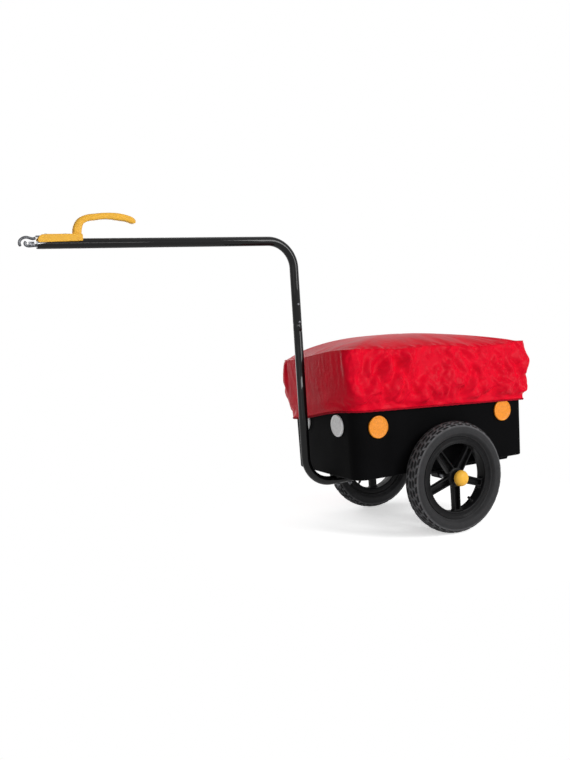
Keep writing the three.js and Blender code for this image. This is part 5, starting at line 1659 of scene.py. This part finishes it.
def creased(obj, settings, rings, outward):
    """Lets the cloth grow between its held hem and top until it buckles, and keeps that shape."""
    count = len(rings[0])
    held = obj.vertex_groups.new(name="held")
    snug = obj.vertex_groups.new(name="snug")
    for level in range(len(rings)):
        top = max(0, level - COVER_LEVELS - COVER_EDGE_LEVELS + 1)
        for i in range(count):
            index = level * count + i
            snug.add([index], 1 - slack_share(level, outward[i]), "REPLACE")
            if level == 0 or top > 0:
                held.add([index], 1.0, "REPLACE")
            elif level == COVER_LEVELS:
                held.add([index], EDGE_HOLD, "REPLACE")
    cloth = obj.modifiers.new("settle", "CLOTH")
    for name, value in CLOTH.items():
        setattr(cloth.settings, name, value)
    cloth.settings.bending_stiffness = settings.stiffness
    cloth.settings.effector_weights.gravity = CLOTH_GRAVITY
    cloth.settings.vertex_group_mass = held.name
    cloth.settings.vertex_group_shrink = snug.name
    cloth.settings.shrink_min = -settings.slack
    cloth.collision_settings.use_collision = False
    scene = bpy.context.scene
    for step in range(1, settings.settle_frames + 1):
        scene.frame_set(step)
    depsgraph = bpy.context.evaluated_depsgraph_get()
    settled = obj.evaluated_get(depsgraph).to_mesh()
    places = [vertex.co.copy() for vertex in settled.vertices]
    obj.modifiers.remove(cloth)
    scene.frame_set(1)
    for vertex, place in zip(obj.data.vertices, places):
        vertex.co = place


def clear_of_tub(point, out):
    """Moves a point out so that the cloth lies on the tub's lip at the nearest."""
    ahead = point.x > 0
    corner = TUB_CORNERS[ahead] + TUB_LIP_OUT
    length = (TUB_FRONT if ahead else TUB_REAR) + TUB_DRAFT + TUB_LIP_OUT
    width = TUB_HALF_WIDTH + TUB_DRAFT + TUB_LIP_OUT
    over = Vector((abs(point.x) - length + corner, abs(point.y) - width + corner))
    outside = Vector((max(over.x, 0), max(over.y, 0))).length
    distance = outside + min(max(over.x, over.y), 0) - corner
    return point + out * max(0.0, COVER_CLEAR - distance)


def finish_skirt(obj, count, outward):
    """Crumples the cloth, keeps it off the tub and gathers its hem into small puckers."""
    for level in range(COVER_LEVELS + DOME_CRUMPLE_LEVELS):
        for i in range(count):
            vertex = obj.data.vertices[level * count + i]
            push = crumple(vertex.co / MM) * crumple_share(level, outward[i])
            facing = outward[i] if level < COVER_LEVELS else Vector((0, 0, 1))
            vertex.co += facing * push * MM
    for level in range(COVER_LEVELS + 1):
        walked = 0.0
        for i in range(count):
            vertex = obj.data.vertices[level * count + i]
            point = vertex.co / MM
            following = obj.data.vertices[level * count + (i + 1) % count].co / MM
            walked += (following - point).length
            point = clear_of_tub(point, outward[i])
            rise = max(0.0, point.z - hem_height(point.x, point.y))
            uneven = noise.noise(point / PUCKER_LUMP) * PUCKER_UNEVEN
            pucker = math.sin(2 * math.pi * walked / PUCKER_PITCH + PUCKER_DRIFT * uneven)
            strength = PUCKER_STRENGTH[0] + PUCKER_STRENGTH[1] * uneven
            depth = PUCKER_DEPTH * math.exp(-rise / PUCKER_FADE) * strength
            point += outward[i] * (depth * (PUCKER_WAVE[0] + pucker * PUCKER_WAVE[1]))
            vertex.co = point * MM


def ring_tube(line, radius, sides, ribs=0.0, rib_pitch=1.0):
    """A round tube along a closed line of points, ribbed across where asked."""
    form = Form()
    rings = []
    walked = 0.0
    for i, place in enumerate(line):
        before, after = line[i - 1], line[(i + 1) % len(line)]
        ahead = (after - before).normalized()
        side = ahead.cross(Vector((0, 0, 1))).normalized()
        up = side.cross(ahead)
        walked += (place - before).length
        size = radius * (1 + ribs * math.sin(2 * math.pi * walked / rib_pitch))
        rings.append([tuple(place + side * u + up * v) for u, v in circle(size, sides)])
    form.skin(rings, endless=True)
    return form


# Sizes and colours to change in the sidebar

def colour_setting(name, description, code):
    """A colour to pick in the sidebar, first set to an sRGB hex code."""
    return FloatVectorProperty(
        name=name, description=description, default=linear(code)[:3], subtype="COLOR", min=0,
        max=1,
    )


class StageSettings(bpy.types.PropertyGroup):
    lens: FloatProperty(name="Lens", description="Focal length", default=37.577, unit="CAMERA")
    azimuth: FloatProperty(
        name="Azimuth", description="Camera's side of the trailer",
        default=math.radians(153.3522), subtype="ANGLE",
    )
    elevation: FloatProperty(
        name="Elevation", description="Camera's tilt downwards",
        default=math.radians(3.9406), subtype="ANGLE",
    )
    roll: FloatProperty(
        name="Roll", description="Camera's lean", default=math.radians(-3.7052), subtype="ANGLE",
    )
    place: FloatVectorProperty(
        name="Camera place", description="Camera, from the floor under the axle",
        default=(1.4076, 1.9923, 0.6167), subtype="TRANSLATION",
    )
    floor_colour: colour_setting("Floor", "Colour of the floor", "E6E6E6")
    floor_gain: FloatProperty(
        name="Floor gain", description="How much brighter the camera sees the floor", default=2.6,
    )
    key_power: FloatProperty(name="Key lamp", description="Power of the key lamp", default=60)
    strip_power: FloatProperty(name="Strip", description="Power of the strip lamp", default=18)
    fill_power: FloatProperty(name="Fill lamp", description="Power of the fill lamp", default=5)
    top_power: FloatProperty(name="Top lamp", description="Power of the top lamp", default=5)
    back_power: FloatProperty(name="Back lamp", description="Power of the back lamp", default=28)
    ambient: FloatProperty(name="Ambient", description="Strength of the room's light", default=0.2)


class CoverSettings(bpy.types.PropertyGroup):
    colour: colour_setting("Cloth", "Colour of the cover", "DE0426")
    elastic_colour: colour_setting("Elastic", "Colour of the hem", "A50A22")
    crown: FloatProperty(
        name="Crown", description="Height of the top's middle over its edge",
        default=0.0615, unit="LENGTH",
    )
    slack: FloatProperty(
        name="Slack", description="Share by which the cloth is too large", default=0.045,
        subtype="FACTOR",
    )
    stiffness: FloatProperty(name="Stiffness", description="Bending stiffness", default=0.02)
    settle_frames: IntProperty(name="Settling", description="Steps of the simulation", default=20)


class TubSettings(bpy.types.PropertyGroup):
    colour: colour_setting("Plastic", "Colour of the tub", "0A0A0B")


class WheelSettings(bpy.types.PropertyGroup):
    pitches: IntProperty(name="Tread pitches", description="Lugs round a tyre", default=36)
    tyre_colour: colour_setting("Tyre", "Colour of the rubber", "1C1C1D")
    dust_colour: colour_setting("Dust", "Colour of the dust in the tread", "6C6C6E")
    rim_colour: colour_setting("Rim", "Colour of the rims", "19191A")
    bush_colour: colour_setting("Bushes", "Colour of the bushes", "E4E2DA")


class DrawbarSettings(bpy.types.PropertyGroup):
    colour: colour_setting("Paint", "Colour of the drawbar", "0A0A0B")


class CouplingSettings(bpy.types.PropertyGroup):
    colour: colour_setting("Lever", "Colour of the lever and hub caps", "FDC048")
    jaw_colour: colour_setting("Jaws", "Colour of the jaws and dark steel", "5C5D60")


class ReflectorSettings(bpy.types.PropertyGroup):
    amber: colour_setting("Amber", "Side reflectors", "FA9418")
    red: colour_setting("Red", "Rear reflectors", "C01020")
    white: colour_setting("White", "Front reflectors", "FFFFFF")


class HardwareSettings(bpy.types.PropertyGroup):
    steel_colour: colour_setting("Steel", "Colour of the plated steel", "B4B7BA")
    black_colour: colour_setting("Black plastic", "Colour of the small moulded parts", "1A1A1B")


class TrailerSettings(bpy.types.PropertyGroup):
    stage: PointerProperty(type=StageSettings)
    cover: PointerProperty(type=CoverSettings)
    tub: PointerProperty(type=TubSettings)
    wheels: PointerProperty(type=WheelSettings)
    drawbar: PointerProperty(type=DrawbarSettings)
    coupling: PointerProperty(type=CouplingSettings)
    reflectors: PointerProperty(type=ReflectorSettings)
    hardware: PointerProperty(type=HardwareSettings)


def finish_named(make, *colours):
    """A finish, made once and then shared."""
    known = bpy.data.materials.get(make.__name__)
    return known or make(*[[*colour, 1.0] for colour in colours])


# Operators

class TRAILER_OT_stage(bpy.types.Operator):
    """Sets up the floor, the lamps, the room's light and the camera"""

    bl_idname = "trailer.stage"
    bl_label = "Stage"

    def execute(self, context):
        settings = context.scene.trailer.stage
        context.scene.view_settings.view_transform = "Standard"
        add_camera(settings)
        add_floor(settings)
        add_lamps(settings)
        add_room_light(settings)
        return {"FINISHED"}


def add_camera(settings):
    azimuth, elevation = settings.azimuth, settings.elevation
    back = Vector((
        math.sin(azimuth) * math.cos(elevation), -math.cos(azimuth) * math.cos(elevation),
        math.sin(elevation),
    ))
    right = Vector((math.cos(azimuth), math.sin(azimuth), 0))
    up = back.cross(right)
    cos, sin = math.cos(settings.roll), math.sin(settings.roll)
    right, up = cos * right + sin * up, cos * up - sin * right
    data = bpy.data.cameras.new("camera")
    data.lens = settings.lens
    data.sensor_width = SENSOR_WIDTH
    data.sensor_fit = "AUTO"
    data.clip_end = VIEW_END
    camera = bpy.data.objects.new("camera", data)
    turn = Matrix((right, up, back)).transposed().to_4x4()
    shift = Vector((AXLE_X * MM, 0, 0))
    camera.matrix_world = Matrix.Translation(Vector(settings.place) + shift) @ turn
    bpy.context.scene.collection.objects.link(camera)
    bpy.context.scene.camera = camera


def seen_directly(tree):
    """1 for what the camera sees, also by reflection and through glass, and 0 for light."""
    path = add_node(tree, "ShaderNodeLightPath")
    share = path.outputs["Is Camera Ray"]
    for kind in ("Is Glossy Ray", "Is Transmission Ray"):
        share = add_node(
            tree, "ShaderNodeMath", {0: share, 1: path.outputs[kind]}, operation="MAXIMUM",
        ).outputs["Value"]
    return share


def seen_bright(tree, plain, gain, share):
    """Shows the camera a brighter surface with a share of plain white mixed in."""
    bright = add_node(
        tree, "ShaderNodeBsdfDiffuse", values={"Color": (gain, gain, gain, 1.0)},
    )
    white = add_node(tree, "ShaderNodeEmission", values={"Strength": 1.0})
    shown = add_node(
        tree, "ShaderNodeMixShader",
        {0: share, 1: bright.outputs["BSDF"], 2: white.outputs["Emission"]},
    )
    return add_node(
        tree, "ShaderNodeMixShader",
        {0: seen_directly(tree), 1: plain, 2: shown.outputs["Shader"]},
    ).outputs["Shader"]


def add_floor(settings):
    """A wide floor that fades to plain white away from the trailer and keeps its shadow."""
    form = Form()
    unit = circle(1, FLOOR_SIDES)
    rings = [[(radius * x, radius * y, 0) for x, y in unit] for radius in FLOOR_RADII]
    form.skin(rings, capped=False)
    form.faces.append(tuple(range(FLOOR_SIDES)))
    floor = bpy.data.objects.new("floor", form.mesh("floor"))
    bpy.context.scene.collection.objects.link(floor)
    floor.location = (AXLE_X * MM, 0, 0)
    colour = [*settings.floor_colour, 1.0]
    material, tree, shader = new_finish("painted_floor", colour, 0.7)
    places = object_places(tree)
    tint(tree, shader, mottle(tree, places, 300), shaded(colour, 0.99), shaded(colour, 1.01))
    distance = add_node(tree, "ShaderNodeVectorMath", {0: places}, operation="LENGTH")
    fade = spread(tree, distance.outputs["Value"], FLOOR_FADE_START, 1.0, *FLOOR_FADE)
    output = tree.nodes["Material Output"]
    mixed = seen_bright(tree, shader.outputs["BSDF"], settings.floor_gain, fade)
    tree.links.new(mixed, output.inputs["Surface"])
    floor.data.materials.append(material)


def add_lamps(settings):
    """A tall key lamp on the camera's right, a level strip, a fill, one overhead, one behind."""
    target = Vector(LAMP_TARGET)
    for name, place, width, height in LAMPS:
        data = bpy.data.lights.new(f"{name}_lamp", "AREA")
        data.energy = getattr(settings, f"{name}_power")
        data.shape = "RECTANGLE"
        data.size = width
        data.size_y = height
        lamp = bpy.data.objects.new(data.name, data)
        lamp.location = place
        lamp.rotation_euler = (target - Vector(place)).to_track_quat("-Z", "Y").to_euler()
        bpy.context.scene.collection.objects.link(lamp)


def add_room_light(settings):
    world = bpy.data.worlds.new("room")
    bpy.context.scene.world = world
    world.use_nodes = True
    tree = world.node_tree
    plain = tree.nodes["Background"]
    plain.inputs["Color"].default_value = linear("FFFFFF")
    plain.inputs["Strength"].default_value = settings.ambient
    white = add_node(
        tree, "ShaderNodeBackground", values={"Strength": 1.0, "Color": linear("FFFFFF")},
    )
    mixed = add_node(tree, "ShaderNodeMixShader", {
        0: seen_directly(tree), 1: plain.outputs["Background"], 2: white.outputs["Background"],
    })
    tree.links.new(mixed.outputs["Shader"], tree.nodes["World Output"].inputs["Surface"])


class TRAILER_OT_tub(bpy.types.Operator):
    """Builds the moulded tub with its lip, rails, drawbar seat and floor ribs"""

    bl_idname = "trailer.tub"
    bl_label = "Tub"

    def execute(self, context):
        settings = context.scene.trailer.tub
        finish = finish_named(spark_grained_polyethylene, settings.colour)
        add_piece("moulded_tub", tub_form().mesh("moulded_tub"), "chassis", finish, ["tub"])
        return {"FINISHED"}


class TRAILER_OT_wheels(bpy.types.Operator):
    """Builds both wheels: tyres with staggered lugs, spoked rims, hub caps and bushes"""

    bl_idname = "trailer.wheels"
    bl_label = "Wheels"

    def execute(self, context):
        settings = context.scene.trailer.wheels
        lever_colour = context.scene.trailer.coupling.colour
        rubber = finish_named(vulcanised_rubber, settings.tyre_colour, settings.dust_colour)
        nylon = finish_named(glass_filled_nylon, settings.rim_colour)
        yellow = finish_named(moulded_abs, lever_colour)
        acetal = finish_named(moulded_acetal, settings.bush_colour)
        parts = (
            ("tyre", tyre_mesh(settings.pitches), "rubber", rubber),
            ("rim", rim_form().mesh("rim"), "rim", nylon),
            ("hub_cap", cap_form().mesh("hub_cap"), "yellow", yellow),
            ("bush_outer", bush_form(1).mesh("bush_outer"), "bush", acetal),
            ("bush_inner", bush_form(-1).mesh("bush_inner"), "bush", acetal),
        )
        for side, direction in SIDES.items():
            for name, mesh, slot, finish in parts:
                add_piece(
                    f"{name}_{side}", mesh, f"{side}_wheel", finish, [f"{side}_{name}"],
                    (0, direction * WHEEL_PLANE, AXLE_HEIGHT), 0 if direction > 0 else math.pi,
                )
        return {"FINISHED"}


class TRAILER_OT_drawbar(bpy.types.Operator):
    """Builds the two halves of the bent drawbar and the snap buttons that lock them"""

    bl_idname = "trailer.drawbar"
    bl_label = "Drawbar"

    def execute(self, context):
        settings = context.scene.trailer.drawbar
        paint = finish_named(powder_coated_tube, settings.colour)
        forged = finish_named(forged_steel, context.scene.trailer.coupling.jaw_colour)
        lower = lower_drawbar_form().mesh("lower_tube")
        add_piece("lower_tube", lower, "chassis", paint, ["lower_drawbar"])
        upper = upper_drawbar_form().mesh("upper_tube")
        cut_nose(upper)
        add_piece("upper_tube", upper, "chassis", paint, ["upper_drawbar"])
        button = turned_form(BUTTON_SIDE, BUTTON_SIDES).mesh("button")
        for place, height in BUTTON_HEIGHTS.items():
            add_piece(
                f"button_{place}", button, f"snap_button_{place}", forged,
                [f"snap_button_{place}"], (UPRIGHT_X, 0, height),
            )
        return {"FINISHED"}


class TRAILER_OT_coupling(bpy.types.Operator):
    """Builds the squeeze lever, its screws, the two jaws, the steel core and the return spring"""

    bl_idname = "trailer.coupling"
    bl_label = "Coupling"

    def execute(self, context):
        trailer = context.scene.trailer
        yellow = finish_named(moulded_abs, trailer.coupling.colour)
        forged = finish_named(forged_steel, trailer.coupling.jaw_colour)
        steel = finish_named(zinc_plated_steel, trailer.hardware.steel_colour)
        wire = finish_named(spring_steel, trailer.coupling.jaw_colour)
        lever = fused(lever_form(), "squeeze_lever", LEVER_VOXEL, LEVER_RELAX_ROUNDS)
        add_piece("squeeze_lever", lever, "coupling_lever", yellow, ["coupling_lever"])
        upper = jaw_form(
            UPPER_JAW_SHARES, (TANG_REAR, -TANG_HALF_WIDTH, TUBE_TOP + TANG_HEIGHT),
            (TANG_FRONT, TANG_HALF_WIDTH, TUBE_TOP + TANG_HEIGHT + TANG_THICKNESS),
        )
        lower = jaw_form(
            LOWER_JAW_SHARES, (TUBE_FRONT + ANVIL_REAR, -ANVIL_HALF_WIDTH, TUBE_TOP - BAR_RADIUS),
            (TUBE_FRONT + ANVIL_REAR + ANVIL_LENGTH, ANVIL_HALF_WIDTH, TUBE_TOP + ANVIL_TOP),
        )
        for name, form, body, node in (
            ("jaw_upper", upper, "coupling_lever", "upper_jaw"),
            ("jaw_lower", lower, "chassis", "lower_jaw"),
        ):
            jaw = add_piece(name, form.mesh(name), body, forged, [node])
            soften(jaw, JAW_EDGE)
        core = add_piece(
            "steel_core", block_form().mesh("steel_core"), "chassis", steel,
            ["coupling_block"],
        )
        soften(core, BLOCK_EDGE)
        add_piece(
            "coil_spring", spring_form().mesh("coil_spring"), "chassis", wire,
            ["return_spring"],
        )
        for place, x in LEVER_BOLTS.items():
            add_piece(
                f"lever_screw_{place}", screw_form(x).mesh("lever_screw"), "coupling_lever",
                steel, [f"lever_bolt_{place}"],
            )
        return {"FINISHED"}


class TRAILER_OT_reflectors(bpy.types.Operator):
    """Builds the round reflectors: amber on the sides, white in front, red at the rear"""

    bl_idname = "trailer.reflectors"
    bl_label = "Reflectors"

    def execute(self, context):
        settings = context.scene.trailer.reflectors
        mesh = reflector_form().mesh("reflector", REFLECTOR_CREASE)
        finishes = {
            slot: prismatic_acrylic(f"prismatic_acrylic_{slot}", [*colour, 1.0])
            for slot, colour in (
                ("amber", settings.amber), ("red", settings.red), ("white", settings.white),
            )
        }
        lean = math.atan(TUB_DRAFT / (TUB_RIM - TUB_UNDERSIDE))
        for node, slot, facing in reflector_nodes():
            low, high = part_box(node)
            piece = add_piece(
                node.replace("reflector", "lens"), mesh.copy(), "chassis", finishes[slot],
                [node],
            )
            middle = (low + high) / 2
            turn = Matrix.Rotation(facing, 4, "Z") @ Matrix.Rotation(-lean, 4, "X")
            centre = turn @ Vector((0, REFLECTOR_THICKNESS / 2 * MM, 0))
            piece.matrix_world = Matrix.Translation(middle - centre) @ turn
            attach(piece, "chassis")
        return {"FINISHED"}


def reflector_nodes():
    """[node, slot, facing] of each reflector, its lens looking along +Y before it is turned."""
    found = []
    for side, direction in SIDES.items():
        facing = 0 if direction > 0 else math.pi
        for place in ("front", "rear"):
            found.append((f"side_reflector_{side}_{place}", "amber", facing))
        found.append((f"front_reflector_{side}", "white", -math.pi / 2))
        found.append((f"rear_reflector_{side}", "red", math.pi / 2))
    return found


class TRAILER_OT_cover(bpy.types.Operator):
    """Builds the fitted cloth cover, its piped edge and its elastic hem"""

    bl_idname = "trailer.cover"
    bl_label = "Cover"

    def execute(self, context):
        settings = context.scene.trailer.cover
        cloth = finish_named(coated_nylon_taffeta, settings.colour)
        elastic = finish_named(braided_elastic, settings.elastic_colour)
        rings, outward = cover_rings(settings)
        form = Form()
        count = len(rings[0])
        form.skin(rings, capped=False)
        form.zip_last(count)
        mesh = form.mesh("fitted_cover", COVER_CREASE)
        cover = add_piece("fitted_cover", mesh, "cover", cloth, ["cover"])
        creased(cover, settings, rings, outward)
        finish_skirt(cover, count, outward)
        edge = [
            cover.data.vertices[COVER_LEVELS * count + i].co / MM for i in range(count)
        ]
        hem = [
            cover.data.vertices[i].co / MM - Vector((0, 0, ELASTIC_RADIUS)) for i in range(count)
        ]
        rounding = cover.modifiers.new("rounding", "SUBSURF")
        rounding.levels = rounding.render_levels = 1
        thickness = cover.modifiers.new("thickness", "SOLIDIFY")
        thickness.thickness = COVER_THICKNESS * MM
        thickness.offset = -1
        piping = add_piece(
            "cover_piping", ring_tube(edge, PIPING_RADIUS, PIPING_SIDES).mesh("cover_piping"),
            "cover", cloth, [],
        )
        tube = ring_tube(hem, ELASTIC_RADIUS, ELASTIC_SIDES, ELASTIC_RIB, ELASTIC_RIB_PITCH)
        casing = add_piece(
            "elastic_casing", tube.mesh("elastic_casing"), "cover", elastic,
            ["hem_elastic"],
        )
        return {"FINISHED"}


class TRAILER_OT_hardware(bpy.types.Operator):
    """Builds the axle with its nuts and spacers and finishes the small parts of the frame"""

    bl_idname = "trailer.hardware"
    bl_label = "Hardware"

    def execute(self, context):
        trailer = context.scene.trailer
        steel = finish_named(zinc_plated_steel, trailer.hardware.steel_colour)
        black = finish_named(moulded_nylon, trailer.hardware.black_colour)
        forged = finish_named(forged_steel, trailer.coupling.jaw_colour)
        yellow = finish_named(moulded_abs, trailer.coupling.colour)
        wire = finish_named(spring_steel, trailer.coupling.jaw_colour)
        butyl = finish_named(butyl_rubber, trailer.hardware.black_colour)
        add_piece(
            "through_axle", axle_form().mesh("through_axle"), "chassis", steel, ["axle"],
            (0, 0, AXLE_HEIGHT),
        )
        for side, direction in SIDES.items():
            turn = 0 if direction > 0 else math.pi
            foot = min(abs(corner.y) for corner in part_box(f"axle_nut_{side}")) / MM
            add_piece(
                f"flange_nut_{side}", nut_form().mesh("flange_nut"), "chassis",
                steel, [f"axle_nut_{side}"], (0, direction * foot, AXLE_HEIGHT), turn,
            )
            spacer = spacer_form(f"axle_spacer_{side}").mesh("spacer")
            add_piece(
                f"spacer_{side}", spacer, "chassis", forged, [f"axle_spacer_{side}"],
                (0, 0, AXLE_HEIGHT), turn,
            )
        for node, finish, width in carried_nodes(black, forged, yellow, wire, butyl):
            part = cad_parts[node]
            for slot in part.material_slots:
                slot.material = finish
            if width:
                soften(part, width)
        return {"FINISHED"}


def carried_nodes(black, forged, yellow, wire, butyl):
    """[node, finish, edge width] of each CAD node that keeps its own mesh."""
    nodes = [
        ("drawbar_rear_plug", black, 0), ("drawbar_saddle", black, 0.6), ("pivot_pin", yellow, 0.2),
    ]
    for place in ("front", "rear"):
        nodes.append((f"saddle_bolt_{place}", forged, 0.2))
        nodes.append((f"saddle_nut_{place}", forged, 0.4))
    for place in BUTTON_HEIGHTS:
        nodes.append((f"button_spring_{place}", wire, 0))
    for side in SIDES:
        nodes.append((f"axle_bracket_{side}", black, 0.8))
        nodes.append((f"{side}_valve_cap", black, 0.4))
        nodes.append((f"{side}_inner_tube", butyl, 0))
        for place in ("front", "rear"):
            nodes.append((f"bracket_bolt_{side}_{place}", forged, 0.3))
    return nodes


class TRAILER_PT_panel(bpy.types.Panel):
    """Lists the trailer's sizes and colours with the operators that build it"""

    bl_idname = "TRAILER_PT_panel"
    bl_label = "Bike trailer"
    bl_space_type = "VIEW_3D"
    bl_region_type = "UI"
    bl_category = "Trailer"

    def draw(self, context):
        trailer = context.scene.trailer
        for operator in OPERATORS:
            group = operator.bl_idname.split(".")[1]
            box = self.layout.box()
            box.operator(operator.bl_idname)
            settings = getattr(trailer, group)
            for name in settings.__annotations__:
                box.prop(settings, name)


OPERATORS = (
    TRAILER_OT_stage, TRAILER_OT_tub, TRAILER_OT_wheels, TRAILER_OT_drawbar,
    TRAILER_OT_coupling, TRAILER_OT_reflectors, TRAILER_OT_cover, TRAILER_OT_hardware,
)
CLASSES = (
    StageSettings, CoverSettings, TubSettings, WheelSettings, DrawbarSettings, CouplingSettings,
    ReflectorSettings, HardwareSettings, TrailerSettings, *OPERATORS, TRAILER_PT_panel,
)


def register():
    for item in CLASSES:
        bpy.utils.register_class(item)
    bpy.types.Scene.trailer = PointerProperty(type=TrailerSettings)


def unregister():
    del bpy.types.Scene.trailer
    for item in reversed(CLASSES):
        bpy.utils.unregister_class(item)


def main():
    register()
    for operator in OPERATORS:
        group, name = operator.bl_idname.split(".")
        getattr(getattr(bpy.ops, group), name)()


if __name__ == "__main__":
    main()
